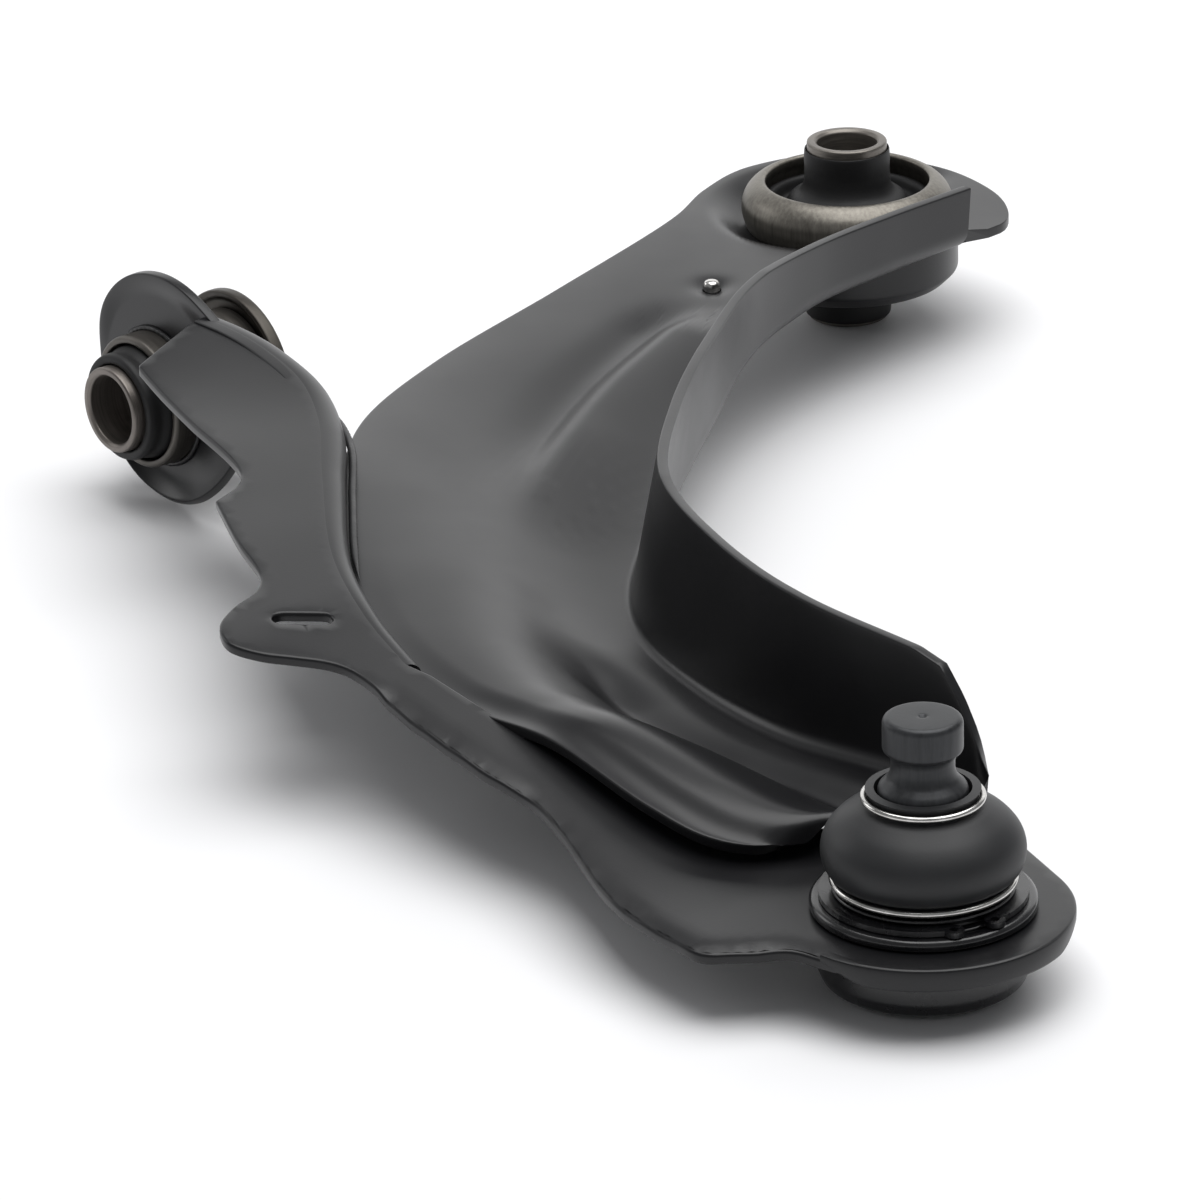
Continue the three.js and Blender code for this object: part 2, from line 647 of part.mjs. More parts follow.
addMesh('main_shell', mainShell(), BLACK_PAINT);
addMesh('front_plate', frontPlate(), BLACK_PAINT);
addMesh('rear_bush_outer_shell', rearOuterShell(), BARE_STEEL, rearAt);
addMesh('rear_bush_collar', rearCollar(), BLACK_PAINT, rearAt);
addMesh('rear_bush_rubber', rearRubber(), RUBBER, rearAt);
addMesh('rear_bush_inner_sleeve', sleeve(REAR_SLEEVE, 0, REAR_SLEEVE.length), SLEEVE_STEEL, rearAt);
addMesh('front_bush_outer_tube', frontTube(), BLACK_PAINT, frontAt, alongY);
addMesh('front_bush_stop_washer', frontDisc(), BARE_STEEL, frontAt, alongY);
addMesh('front_bush_rubber', frontRubber(), RUBBER, frontAt, alongY);
addMesh('front_bush_inner_sleeve', sleeve(FRONT_SLEEVE, FRONT_SLEEVE.from, FRONT_SLEEVE.to),
  SLEEVE_STEEL, frontAt, alongY);
addMesh('ball_joint_collar', ballCollar(), BLACK_PAINT, ballAt);
addMesh('ball_joint_housing', ballHousing(), DARK_STEEL, ballAt);
addMesh('ball_seat', ballSeat(), POLYMER, ballAt);
addMesh('ball_stud', ballStud(), DARK_STEEL, ballAt);
addMesh('ball_joint_end_cap', endCap(), DARK_STEEL, ballAt);
addMesh('circlip', circlip(), DARK_STEEL, ballAt);
addMesh('dust_boot', dustBoot(), RUBBER, ballAt);
addMesh('boot_upper_ring', wireRing(UPPER_RING), BRIGHT_WIRE, [BALL.x, BALL.y, UPPER_RING.z]);
addMesh('boot_lower_ring', wireRing(LOWER_RING), BRIGHT_WIRE, [BALL.x, BALL.y, LOWER_RING.z]);

addMesh('weld_front_tube_front', ringBead(FRONT_TUBE.outer + GAP, YOKE_Y - SHEET / 2 - 3 * GAP, -2.2),
  BLACK_PAINT, frontAt, alongY);
addMesh('weld_front_tube_back', ringBead(FRONT_TUBE.outer + GAP, YOKE_Y + SHEET / 2 + GAP, 2.4),
  BLACK_PAINT, frontAt, alongY);
addMesh('weld_rear_collar', ringBead(34.3, REAR_PLATE_Z - SHEET - GAP, -2.4), BLACK_PAINT, rearAt);
addMesh('weld_shoulder_seam', shoulderBead(), BLACK_PAINT);
addMesh('locating_pip', locatingPip(), BRIGHT_WIRE, [PIP.x, PIP.y, 0]);

// The origin goes to the centre of the underside of the bounding box.
group.updateMatrixWorld(true);
const box = new THREE.Box3().setFromObject(group, true);
const centre = box.getCenter(new THREE.Vector3());
group.position.set(-centre.x, -centre.y, -box.min.z);

export default group;
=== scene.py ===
# %% [markdown]
# # A pressed-steel suspension arm
# The arm is made of two steel pressings that are welded together, two rubber bushes and a ball
# joint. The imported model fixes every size, place and joint. This script dresses it: each piece
# gets a fine surface worked out with numpy, and a procedural finish. The frame is loaded first,
# so that everything after it can be measured from it.

# %% Load the frame
import math

import bmesh
import bpy
import numpy as np
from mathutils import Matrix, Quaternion, Vector
from mathutils.geometry import delaunay_2d_cdt


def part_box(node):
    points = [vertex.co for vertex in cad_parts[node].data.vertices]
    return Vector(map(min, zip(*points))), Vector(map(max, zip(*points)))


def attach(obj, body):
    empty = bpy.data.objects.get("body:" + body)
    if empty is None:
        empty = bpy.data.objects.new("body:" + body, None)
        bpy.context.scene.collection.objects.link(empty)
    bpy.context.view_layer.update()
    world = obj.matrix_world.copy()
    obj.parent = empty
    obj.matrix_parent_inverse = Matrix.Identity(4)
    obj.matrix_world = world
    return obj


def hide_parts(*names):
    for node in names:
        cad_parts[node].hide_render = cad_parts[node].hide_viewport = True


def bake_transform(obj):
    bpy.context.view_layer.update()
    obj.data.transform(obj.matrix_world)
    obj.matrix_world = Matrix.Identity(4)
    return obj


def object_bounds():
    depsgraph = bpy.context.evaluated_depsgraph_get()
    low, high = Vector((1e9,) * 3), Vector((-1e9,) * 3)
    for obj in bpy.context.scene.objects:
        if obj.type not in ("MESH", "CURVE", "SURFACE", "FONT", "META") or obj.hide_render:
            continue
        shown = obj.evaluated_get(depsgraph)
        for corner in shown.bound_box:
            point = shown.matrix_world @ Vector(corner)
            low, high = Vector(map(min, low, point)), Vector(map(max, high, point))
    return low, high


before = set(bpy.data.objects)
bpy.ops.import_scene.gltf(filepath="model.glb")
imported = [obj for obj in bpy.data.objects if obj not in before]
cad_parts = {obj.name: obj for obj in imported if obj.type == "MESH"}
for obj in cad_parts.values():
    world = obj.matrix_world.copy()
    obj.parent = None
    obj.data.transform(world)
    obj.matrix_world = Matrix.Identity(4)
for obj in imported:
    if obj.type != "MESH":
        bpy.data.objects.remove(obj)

cad_low, cad_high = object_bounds()
print("CAD box, mm:", [round(1000 * (b - a), 1) for a, b in zip(cad_low, cad_high)])

# %% [markdown]
# The arm is drawn in millimetres, as a workshop drawing would be: x runs from the front bush to
# the ball joint, y to the rear bush, and z is up from the foot of the rear sleeve. Empties could
# mark these places, but plain numbers are easier to reuse. One shift carries drawing places into
# the frame. It is measured on the ball stud and on the rear sleeve, which both stand upright.

# %% Drawing places and the shift into the frame
REAR = np.array([35.7, 228.0])
FRONT_X, FRONT_Z = 13.0, 31.0
BALL = np.array([402.3, -70.4])
SHEET = 3.0
NOSE_Z = 20.4

stud_low, stud_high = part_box("ball_stud")
sleeve_low, sleeve_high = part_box("rear_bush_inner_sleeve")
stud_middle = np.array((stud_low + stud_high) / 2) * 1000
SHIFT = np.array([stud_middle[0] - BALL[0], stud_middle[1] - BALL[1], sleeve_low.z * 1000])


def place(points):
    """Drawing millimetres to frame metres: add the shift, then divide by 1000."""
    return (np.asarray(points, float) + SHIFT) / 1000


print("drawing origin in the frame, mm:", SHIFT.round(2))

# %% [markdown]
# ## The tools of the bench
# Every shape below is a grid of points: rows along the piece and columns across it. Two small
# functions turn such grids into an object. Grids that close on themselves, like a turned ring,
# join their last row or column to the first. The same shapes could be modelled by hand, but a
# formula keeps the true size and can be changed with one number.


# %% Grids to meshes
SHEET_SHARP, TURNED_SHARP = 38, 60
MERGE_WITHIN, SHORTEST_EDGE = 2e-6, 1e-7


def grid_faces(rows, columns, close_rows=False, close_columns=False, start=0):
    """Quads between each grid point and its next neighbours, as an array of index fours."""
    i = np.arange(rows if close_rows else rows - 1)[:, None]
    j = np.arange(columns if close_columns else columns - 1)[None, :]
    i2, j2 = (i + 1) % rows, (j + 1) % columns
    quads = np.stack([i * columns + j, i2 * columns + j, i2 * columns + j2, i * columns + j2], -1)
    return quads.reshape(-1, 4) + start


def piece(name, shells, material, body, stands_for=(), sharp=SHEET_SHARP):
    """One object from (points in drawing mm, faces) shells: doubles merged, faces turned out,
    smooth except where two faces meet at more than the sharp angle, in degrees."""
    points, faces, count = [], [], 0
    for vertices, polygons in shells:
        vertices = np.asarray(vertices, float).reshape(-1, 3)
        points.append(vertices)
        faces += [[int(k) + count for k in f] for f in polygons]
        count += len(vertices)
    mesh = bpy.data.meshes.new(name)
    mesh.from_pydata(place(np.concatenate(points)).tolist(), [], faces)
    work = bmesh.new()
    work.from_mesh(mesh)
    bmesh.ops.remove_doubles(work, verts=work.verts, dist=MERGE_WITHIN)
    bmesh.ops.dissolve_degenerate(work, edges=work.edges, dist=SHORTEST_EDGE)
    bmesh.ops.recalc_face_normals(work, faces=work.faces)
    work.to_mesh(mesh)
    work.free()
    mesh.shade_smooth()
    mesh.set_sharp_from_angle(angle=math.radians(sharp))
    made = bpy.data.objects.new(name, mesh)
    bpy.context.scene.collection.objects.link(made)
    mesh.materials.append(material)
    if body:
        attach(made, body)
    if stands_for:
        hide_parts(*stands_for)
    print(f"{name}: {len(mesh.polygons)} faces")
    return made


# %% [markdown]
# The round pieces of the real arm are turned or drawn. A profile of radius and height is given
# with sharp corners, its corners are rounded, and it is swept round the axis. A Screw modifier
# could sweep it too, but then its points could not be moved afterwards. Rounding matters: the
# thin light along an edge is what tells the eye that a piece is steel.


# %% Rounded profiles and the lathe
LATHE_STEPS = 112


def rounded(profile, radius, steps=4, closed=True):
    """Each corner becomes a short quadratic arc (1-t)^2 * before + 2t(1-t) * corner + t^2 * after,
    between points `radius` before and after it, or 0.45 of the side where that is less."""
    p = np.asarray(profile, float)
    before, after = np.roll(p, 1, 0), np.roll(p, -1, 0)
    to_before, to_after = before - p, after - p
    reach_before = np.minimum(radius / np.maximum(np.linalg.norm(to_before, axis=1), 1e-9), 0.45)
    reach_after = np.minimum(radius / np.maximum(np.linalg.norm(to_after, axis=1), 1e-9), 0.45)
    a = p + to_before * reach_before[:, None]
    b = p + to_after * reach_after[:, None]
    t = np.linspace(0, 1, steps + 1)[None, :, None]
    arcs = (1 - t) ** 2 * a[:, None] + 2 * t * (1 - t) * p[:, None] + t**2 * b[:, None]
    if not closed:
        arcs[0] = p[0]
        arcs[-1] = p[-1]
    return arcs.reshape(-1, 2)


def lathe(profile, centre, axis="z", closed=True, segments=LATHE_STEPS):
    """Radius r and height h swept round an axis: (r cos a, r sin a, h), then laid along z or y."""
    profile = np.asarray(profile, float)
    angle = np.linspace(0, 2 * np.pi, segments, endpoint=False)[:, None]
    r, h = profile[None, :, 0], profile[None, :, 1]
    x, y, z = r * np.cos(angle), r * np.sin(angle), h + 0 * angle
    if axis == "z":
        points = np.stack([x + centre[0], y + centre[1], z], -1)
    else:
        points = np.stack([x + centre[0], z, y + centre[1]], -1)
    return points, grid_faces(segments, len(profile), True, closed)


def turned(name, profile, radius, centre, material, body, node, axis="z", closed=True,
           segments=LATHE_STEPS):
    """A turned piece: its profile, with the corners rounded, swept round its axis."""
    shape = lathe(rounded(profile, radius, closed=closed), centre, axis, closed, segments)
    return piece(name, [shape], material, body, [node], TURNED_SHARP)


# %% [markdown]
# The edge of a pressing is a smooth line through a few stations, and its form changes gently
# along it. Curve objects could draw such lines, but the surfaces below need them as arrays of
# points, so the curve, the smooth step and the bell are written out here.


# %% Smooth lines, steps and bells
CURVE_STEPS = 40


def smooth_curve(stations, count):
    """Centripetal Catmull-Rom curve through the stations, read at `count` equal steps of length:
    between two stations it is the cubic whose end slopes come from the neighbours, with each
    stretch timed by the square root of its length."""
    p = np.asarray(stations, float)
    p = np.vstack([2 * p[0] - p[1], p, 2 * p[-1] - p[-2]])
    d = np.maximum(np.linalg.norm(np.diff(p, axis=0), axis=1) ** 0.5, 1e-6)[:, None]
    p0, p1, p2, p3 = p[:-3], p[1:-2], p[2:-1], p[3:]
    d0, d1, d2 = d[:-2], d[1:-1], d[2:]
    m1 = ((p1 - p0) / d0 - (p2 - p0) / (d0 + d1) + (p2 - p1) / d1) * d1
    m2 = ((p2 - p1) / d1 - (p3 - p1) / (d1 + d2) + (p3 - p2) / d2) * d1
    t = np.linspace(0, 1, CURVE_STEPS, endpoint=False)[None, :, None]
    p1, p2, m1, m2 = (v[:, None] for v in (p1, p2, m1, m2))
    h = (2 * t**3 - 3 * t**2 + 1) * p1 + (t**3 - 2 * t**2 + t) * m1
    h = h + (3 * t**2 - 2 * t**3) * p2 + (t**3 - t**2) * m2
    line = np.vstack([h.reshape(-1, p.shape[1]), p[-2]])
    length = np.r_[0, np.cumsum(np.linalg.norm(np.diff(line, axis=0), axis=1))]
    at = np.linspace(0, length[-1], count)
    return np.stack([np.interp(at, length, c) for c in line.T], -1)


def ease(t):
    """Smooth step: 3t^2 - 2t^3 on t held between 0 and 1."""
    t = np.clip(t, 0, 1)
    return t * t * (3 - 2 * t)


def bump(x, middle, width):
    """Bell curve exp(-((x - middle) / width)^2)."""
    return np.exp(-(((x - middle) / width) ** 2))


def unit(v):
    """Vectors scaled to length one."""
    return v / np.maximum(np.linalg.norm(v, axis=-1, keepdims=True), 1e-9)


# %% [markdown]
# Pressed sheet has one thickness everywhere. So a pressing is drawn as its middle surface, and
# both skins are set off from it along the surface's own normal. A Solidify modifier could do
# that, but with square rims, and a die leaves a small radius on a cut edge.


# %% Thick sheet and pierced holes
EDGE_POWER = 0.4


def thick_sheet(middle, thickness=SHEET, edge_steps=9):
    """Closed skin round a middle surface: top = middle + n h, bottom = middle - n h, where n is
    the unit cross product of the two grid directions and h is half the thickness. Each long
    edge is a nearly square section, h |cos a|^0.4 high and h |sin a|^0.4 / 2 deep."""
    n = unit(np.cross(np.gradient(middle, axis=0), np.gradient(middle, axis=1)))
    half = thickness / 2
    a = np.linspace(0, np.pi, edge_steps + 2)[1:-1]
    high = (np.sign(np.cos(a)) * np.abs(np.cos(a)) ** EDGE_POWER)[None, :, None]
    deep = (np.abs(np.sin(a)) ** EDGE_POWER * 0.5)[None, :, None]
    far_out = unit(middle[:, -1:] - middle[:, -2:-1])
    near_out = unit(middle[:, :1] - middle[:, 1:2])
    far = middle[:, -1:] + half * (n[:, -1:] * high + far_out * deep)
    near = middle[:, :1] + half * (near_out * deep - n[:, :1] * high)
    loop = np.concatenate([middle + n * half, far, (middle - n * half)[:, ::-1], near], axis=1)
    rows, columns = loop.shape[:2]
    faces = grid_faces(rows, columns, False, True).tolist()
    faces.append(list(range(columns))[::-1])
    faces.append([(rows - 1) * columns + k for k in range(columns)])
    return loop, faces


def cut(target, shells):
    """Cuts closed shells, given in drawing mm, out of a finished piece."""
    cutter = piece("cutter", shells, target.data.materials[0], None)
    step = target.modifiers.new("cut", "BOOLEAN")
    step.operation, step.object, step.solver = "DIFFERENCE", cutter, "EXACT"
    bpy.context.view_layer.update()
    view = bpy.context.evaluated_depsgraph_get()
    finished = bpy.data.meshes.new_from_object(target.evaluated_get(view))
    target.modifiers.clear()
    target.data = finished
    finished.shade_smooth()
    finished.set_sharp_from_angle(angle=math.radians(SHEET_SHARP))
    bpy.data.objects.remove(cutter)
    return target


# %% [markdown]
# ## Finishes
# A finish is a tree of shader nodes. It could be wired by hand in the editor, but code repeats it
# for every piece without a slip. Two helpers add a node and start a shared node group.


# %% Node helpers
def add(tree, kind, **settings):
    """Adds a node and sets its plain properties, or its inputs by name."""
    node = tree.nodes.new(kind)
    for key, value in settings.items():
        if key in node.inputs:
            node.inputs[key].default_value = value
        else:
            setattr(node, key, value)
    return node


def new_group(name, inputs, outputs):
    """An empty shader group with named float inputs and named outputs."""
    group = bpy.data.node_groups.new(name, "ShaderNodeTree")
    for label, value in inputs.items():
        made = group.interface.new_socket(label, in_out="INPUT", socket_type="NodeSocketFloat")
        made.default_value = value
    for label in outputs:
        group.interface.new_socket(label, in_out="OUTPUT", socket_type="NodeSocketFloat")
    return group, group.nodes.new("NodeGroupInput"), group.nodes.new("NodeGroupOutput")


# %% [markdown]
# Paint and rubber have a fine grain and a slow cloudiness, and bare steel keeps the marks of the
# tool that cut it. An image could carry them, but noise needs no file, has no seam and stays
# sharp from near. Both groups read Object coordinates, which are metres on the real part, so a
# grain keeps its true size. A noise scale is about the number of spots in a metre.


# %% Shared effects
GRAIN_SCALE, CLOUD_SCALE = 900.0, 30.0
ALONG_SCALE, ACROSS_SCALE = 60.0, 1800.0


def make_grain():
    """Fine grain and slow cloudiness: two noises of Object coordinates, each at its own scale."""
    scales = {"Scale": GRAIN_SCALE, "Cloud Scale": CLOUD_SCALE}
    group, source, target = new_group("coat_grain", scales, ["Grain", "Cloud"])
    place_node = add(group, "ShaderNodeTexCoord")
    grain = add(group, "ShaderNodeTexNoise", Detail=3.0, Roughness=0.6)
    cloud = add(group, "ShaderNodeTexNoise", Detail=4.0, Roughness=0.55)
    for noise, label in ((grain, "Scale"), (cloud, "Cloud Scale")):
        group.links.new(place_node.outputs["Object"], noise.inputs["Vector"])
        group.links.new(source.outputs[label], noise.inputs["Scale"])
    group.links.new(grain.outputs["Fac"], target.inputs["Grain"])
    group.links.new(cloud.outputs["Fac"], target.inputs["Cloud"])
    return group


def make_turning():
    """Marks of a lathe or brush: noise of Object coordinates that are multiplied much more across
    the marks than along them, for rings round y, rings round z and strokes along z."""
    fine_ways = {"Round Y": "Y", "Round Z": "Z", "Upright": "XY"}
    scales = {"Along": ALONG_SCALE, "Across": ACROSS_SCALE}
    group, source, target = new_group("turning_marks", scales, list(fine_ways))
    place_node = add(group, "ShaderNodeTexCoord")
    split = add(group, "ShaderNodeSeparateXYZ")
    group.links.new(place_node.outputs["Object"], split.inputs[0])
    for label, fine in fine_ways.items():
        stretched = add(group, "ShaderNodeCombineXYZ")
        for axis in "XYZ":
            scale = add(group, "ShaderNodeMath", operation="MULTIPLY")
            group.links.new(split.outputs[axis], scale.inputs[0])
            group.links.new(source.outputs["Across" if axis in fine else "Along"], scale.inputs[1])
            group.links.new(scale.outputs[0], stretched.inputs[axis])
        noise = add(group, "ShaderNodeTexNoise", Scale=1.0, Detail=4.0, Roughness=0.65)
        group.links.new(stretched.outputs[0], noise.inputs["Vector"])
        group.links.new(noise.outputs["Fac"], target.inputs[label])
    return group


GRAIN = make_grain()
TURNING = make_turning()
print("shared effects:", GRAIN.name, TURNING.name)

# %% [markdown]
# A finish mixes two colours by a slow cloud, moves its roughness a little with the same cloud,
# and raises the surface by a grain a few hundredths of a millimetre high. The numbers that stay
# the same all over a surface are set on the shader itself.


# %% The finish builder
COAT_ROUGHNESS = 0.12
MARKS_SHARE = 0.6
COLOUR_SPAN, SHINE_SPAN = (0.35, 0.65), (0.3, 0.7)


def finish(name, light, dark, rough, metallic=0.0, marks=None, relief=0.00002, specular=0.5,
           grain=GRAIN_SCALE, cloud=CLOUD_SCALE, coat=0.0, along=ALONG_SCALE, across=ACROSS_SCALE):
    """Colour = mix(dark, light, d) and roughness = rough[0] to rough[1] by d, each over its own
    span of d. d is the cloud, or 0.6 marks + 0.4 cloud on steel with tool marks. Normal = bump
    of the grain or the marks, `relief` metres high."""
    made = bpy.data.materials.new(name)
    made.use_nodes = True
    tree = made.node_tree
    shader = tree.nodes["Principled BSDF"]
    shader.inputs["Metallic"].default_value = metallic
    shader.inputs["Specular IOR Level"].default_value = specular
    shader.inputs["Coat Weight"].default_value = coat
    shader.inputs["Coat Roughness"].default_value = COAT_ROUGHNESS
    effect = add(tree, "ShaderNodeGroup", node_tree=GRAIN)
    effect.inputs["Scale"].default_value = grain
    effect.inputs["Cloud Scale"].default_value = cloud
    height = effect.outputs["Grain"]
    drive = effect.outputs["Cloud"]
    if marks:
        lines = add(tree, "ShaderNodeGroup", node_tree=TURNING)
        lines.inputs["Along"].default_value = along
        lines.inputs["Across"].default_value = across
        height = lines.outputs[marks]
        both = add(tree, "ShaderNodeMath", operation="MULTIPLY_ADD")
        both.inputs[1].default_value = MARKS_SHARE
        weak_cloud = add(tree, "ShaderNodeMath", operation="MULTIPLY")
        weak_cloud.inputs[1].default_value = 1 - MARKS_SHARE
        tree.links.new(drive, weak_cloud.inputs[0])
        tree.links.new(height, both.inputs[0])
        tree.links.new(weak_cloud.outputs[0], both.inputs[2])
        drive = both.outputs[0]
    colour = add(tree, "ShaderNodeMix", data_type="RGBA")
    colour.inputs["A"].default_value = (*dark, 1)
    colour.inputs["B"].default_value = (*light, 1)
    contrast = add(tree, "ShaderNodeMapRange")
    contrast.inputs["From Min"].default_value = COLOUR_SPAN[0]
    contrast.inputs["From Max"].default_value = COLOUR_SPAN[1]
    tree.links.new(drive, contrast.inputs["Value"])
    tree.links.new(contrast.outputs["Result"], colour.inputs["Factor"])
    tree.links.new(colour.outputs["Result"], shader.inputs["Base Color"])
    shine = add(tree, "ShaderNodeMapRange")
    shine.inputs["From Min"].default_value = SHINE_SPAN[0]
    shine.inputs["From Max"].default_value = SHINE_SPAN[1]
    shine.inputs["To Min"].default_value = rough[0]
    shine.inputs["To Max"].default_value = rough[1]
    tree.links.new(drive, shine.inputs["Value"])
    tree.links.new(shine.outputs["Result"], shader.inputs["Roughness"])
    relief_node = add(tree, "ShaderNodeBump", Distance=relief)
    relief_node.inputs["Strength"].default_value = 1.0
    tree.links.new(height, relief_node.inputs["Height"])
    tree.links.new(relief_node.outputs["Normal"], shader.inputs["Normal"])
    return made


# %% [markdown]
# The arm is dipped in black electrophoretic paint, a thin satin coat that shows grey where it
# faces the light. The barrel and the washer are bare steel with a warm, slightly stained grey.
# The rubber of the bushes is matte, and the boot is smoother, with a fine charcoal bloom.

# %% The finishes
BLACK_COAT = finish("black_coat", (0.0075, 0.0075, 0.0085), (0.005, 0.005, 0.006), (0.29, 0.37),
                    relief=0.000012, grain=1400.0, cloud=22.0, specular=0.42)
WELD_COAT = finish("weld_coat", (0.010, 0.010, 0.011), (0.006, 0.006, 0.007), (0.35, 0.5),
                   relief=0.00008, grain=700.0, cloud=120.0)
DARK_STEEL = finish("dark_steel", (0.008, 0.008, 0.009), (0.004, 0.004, 0.005), (0.2, 0.34),
                    relief=0.00002, grain=900.0, cloud=80.0, coat=0.3)
BARREL_STEEL = finish("barrel_steel", (0.26, 0.245, 0.215), (0.13, 0.12, 0.105), (0.34, 0.5),
                      metallic=0.85, marks="Upright", relief=0.00002, along=40.0, across=900.0)
WASHER_STEEL = finish("washer_steel", (0.10, 0.092, 0.08), (0.045, 0.04, 0.035), (0.36, 0.55),
                      metallic=0.8, relief=0.00003, grain=500.0, cloud=45.0)
SLEEVE_STEEL = finish("sleeve_steel", (0.26, 0.235, 0.215), (0.12, 0.108, 0.098), (0.36, 0.52),
                      metallic=0.85, marks="Round Y", relief=0.00002)
SLEEVE_STEEL_UPRIGHT = finish("sleeve_steel_upright", (0.26, 0.24, 0.215), (0.12, 0.11, 0.1), (0.34, 0.5),
                              metallic=0.85, marks="Round Z", relief=0.00002)
STUD_STEEL = finish("stud_steel", (0.045, 0.047, 0.050), (0.022, 0.023, 0.025), (0.34, 0.48),
                    metallic=0.5, marks="Upright", relief=0.00002, along=60.0, across=700.0)
RUBBER = finish("bush_rubber", (0.010, 0.010, 0.0105), (0.006, 0.006, 0.0065), (0.5, 0.66),
                relief=0.00004, grain=1200.0, cloud=60.0, specular=0.4)
BOOT_RUBBER = finish("boot_rubber", (0.017, 0.0175, 0.019), (0.013, 0.0135, 0.0145), (0.42, 0.52),
                     relief=0.00002, grain=1500.0, cloud=50.0, specular=0.4)
TUBE_STEEL = finish("tube_steel", (0.14, 0.13, 0.118), (0.07, 0.065, 0.058), (0.36, 0.52),
                    metallic=0.8, marks="Round Y", relief=0.00002)
BRIGHT_WIRE = finish("bright_wire", (0.72, 0.71, 0.69), (0.5, 0.49, 0.47), (0.14, 0.28),
                     metallic=1.0, relief=0.00001, grain=2000.0, cloud=200.0)
POLYMER = finish("seat_polymer", (0.74, 0.72, 0.66), (0.68, 0.66, 0.6), (0.4, 0.5),
                 relief=0.00001)
print("finishes:", len(bpy.data.materials))

# %% [markdown]
# ## The main pressing
# The big sheet runs from the rear bush, past the bend, to the tongue that lies over the nose.
# Its outer edge and the foot of its upright wall are two smooth curves. Each row of the grid
# joins them: across the flat with a ribbed height, round the bend, and up the wall. Near the
# deepest part of the bend the wall leans back, as a drawn corner does.

# %% Lines of the main pressing
OUTER_EDGE = [
    (82, 244, 36), (81, 251, 36), (75, 258.5, 36), (58, 268, 36), (28, 271, 36), (-2, 257, 36),
    (-11, 228, 36), (-4, 204, 36),
    (10, 180, 36.5), (36, 113, 37), (61, 47, 38), (88, 0, 40), (118, -31, 40.5), (155, -62, 38.5),
    (195, -85, 35.2), (238, -96, 33.4), (262, -96, 34), (288, -95, 35.4), (328, -96, 30.6),
    (347, -93, 27.6), (357, -86, 26.3), (361, -76, 26),
]
WALL_LINE = [
    (86, 232, 36), (90, 198, 36), (97, 163, 36.2), (113, 124, 33.5), (140, 86, 29), (180, 38, 24),
    (222, -1, 21), (262, -18, 20.5), (304, -27, 22), (345, -25.5, 24.9), (374, -23, 25.2),
]
WALL_TOP_X = [86, 109, 152, 222, 304, 350, 359, 365, 370, 374]
WALL_TOP_Z = [52.7, 57, 59.5, 62, 61, 59.2, 57, 49.5, 41, 31]
RIB = smooth_curve([(68, 142), (82, 108), (98, 75), (116, 46), (136, 20), (151, 4), (170, -11)], 90)
PIP = np.array([60.3, 152.3])
print("rib length, mm:", np.linalg.norm(np.diff(RIB, axis=0), axis=1).sum().round(1))

# %% [markdown]
# The press leaves a stiffening rib with a valley beside it, a raised tongue, a sunk pocket behind
# the nose, a dish round the rear bush and a dimple round the pip. They could be sculpted, but
# each is a smooth step or a bell of a distance, so a sum of a few formulas gives them all.


# %% The pressed form
BUSH_DISH, DISH_START, DISH_WIDTH = 6.0, 31.5, 13
LOBE_WAY = np.array([0.88, 0.47])
RIB_RISE, RIB_VALLEY = 4.6, 2.0
TONGUE_RISE = 5.2
POCKET_DEPTH = 6.0
PIP_DIMPLE = 2.2


def along_line(xy, line):
    """For every plan point: signed distance from a line (positive on the wall side) and how far
    along the line its nearest point is, from 0 to 1."""
    gap = xy[..., None, :] - line
    nearest = (gap**2).sum(-1).argmin(-1)
    way = unit(np.gradient(line, axis=0))[nearest]
    offset = np.take_along_axis(gap, nearest[..., None, None], -2)[..., 0, :]
    return way[..., 0] * offset[..., 1] - way[..., 1] * offset[..., 0], nearest / (len(line) - 1)


def bush_dish(xy):
    """How far the sheet is dished down round the rear bush: full depth up to 31.5 mm from its
    axis, a smooth step to nothing at 44.5 mm, and fading out towards the flat lobe."""
    away = xy - REAR
    ring = 1 - ease((np.linalg.norm(away, axis=-1) - DISH_START) / DISH_WIDTH)
    return BUSH_DISH * ring * (1 - ease((away @ LOBE_WAY - 8) / 16))


def pressed_height(s, t, xy):
    """Height added to the plain sheet, at s along it and t across it, both from 0 to 1. The rib
    is a smooth step up across its line, with a valley bell on the outer side. Tongue and pocket
    are bells across t. The dish of the rear bush and a bell round the pip are taken off."""
    d, a = along_line(xy, RIB)
    strong = ease(a * 6) * (1 - ease((a - 0.55) / 0.45))
    step_up = RIB_RISE * ease((d + 3) / 11) * (1 - 0.75 * ease((d - 9) / 26))
    rib = (step_up - RIB_VALLEY * bump(d, -7, 7)) * strong
    rib_middle = 0.62 - 0.36 * ease((s - 0.45) / 0.5)
    tongue = TONGUE_RISE * ease((s - 0.42) / 0.26) * np.exp(-2 * ((t - rib_middle) / 0.31) ** 2)
    pocket = -POCKET_DEPTH * ease((s - 0.69) / 0.08) * bump(t, 0.75, 0.12)
    pip = -PIP_DIMPLE * bump(np.linalg.norm(xy - PIP, axis=-1), 0, 5)
    return (rib + tongue + pocket) * ease(t * 6) - bush_dish(xy) + pip


# %% [markdown]
# The sheet's middle surface is one grid. Each row crosses the flat, turns up round the bend and
# climbs the wall. Three sheets could be joined instead, but one grid has no seam to weld, and its
# wall can lean back where the bend is tightest.


# %% Middle surface of the main pressing
ALONG, ACROSS, BEND, UP = 260, 80, 12, 14


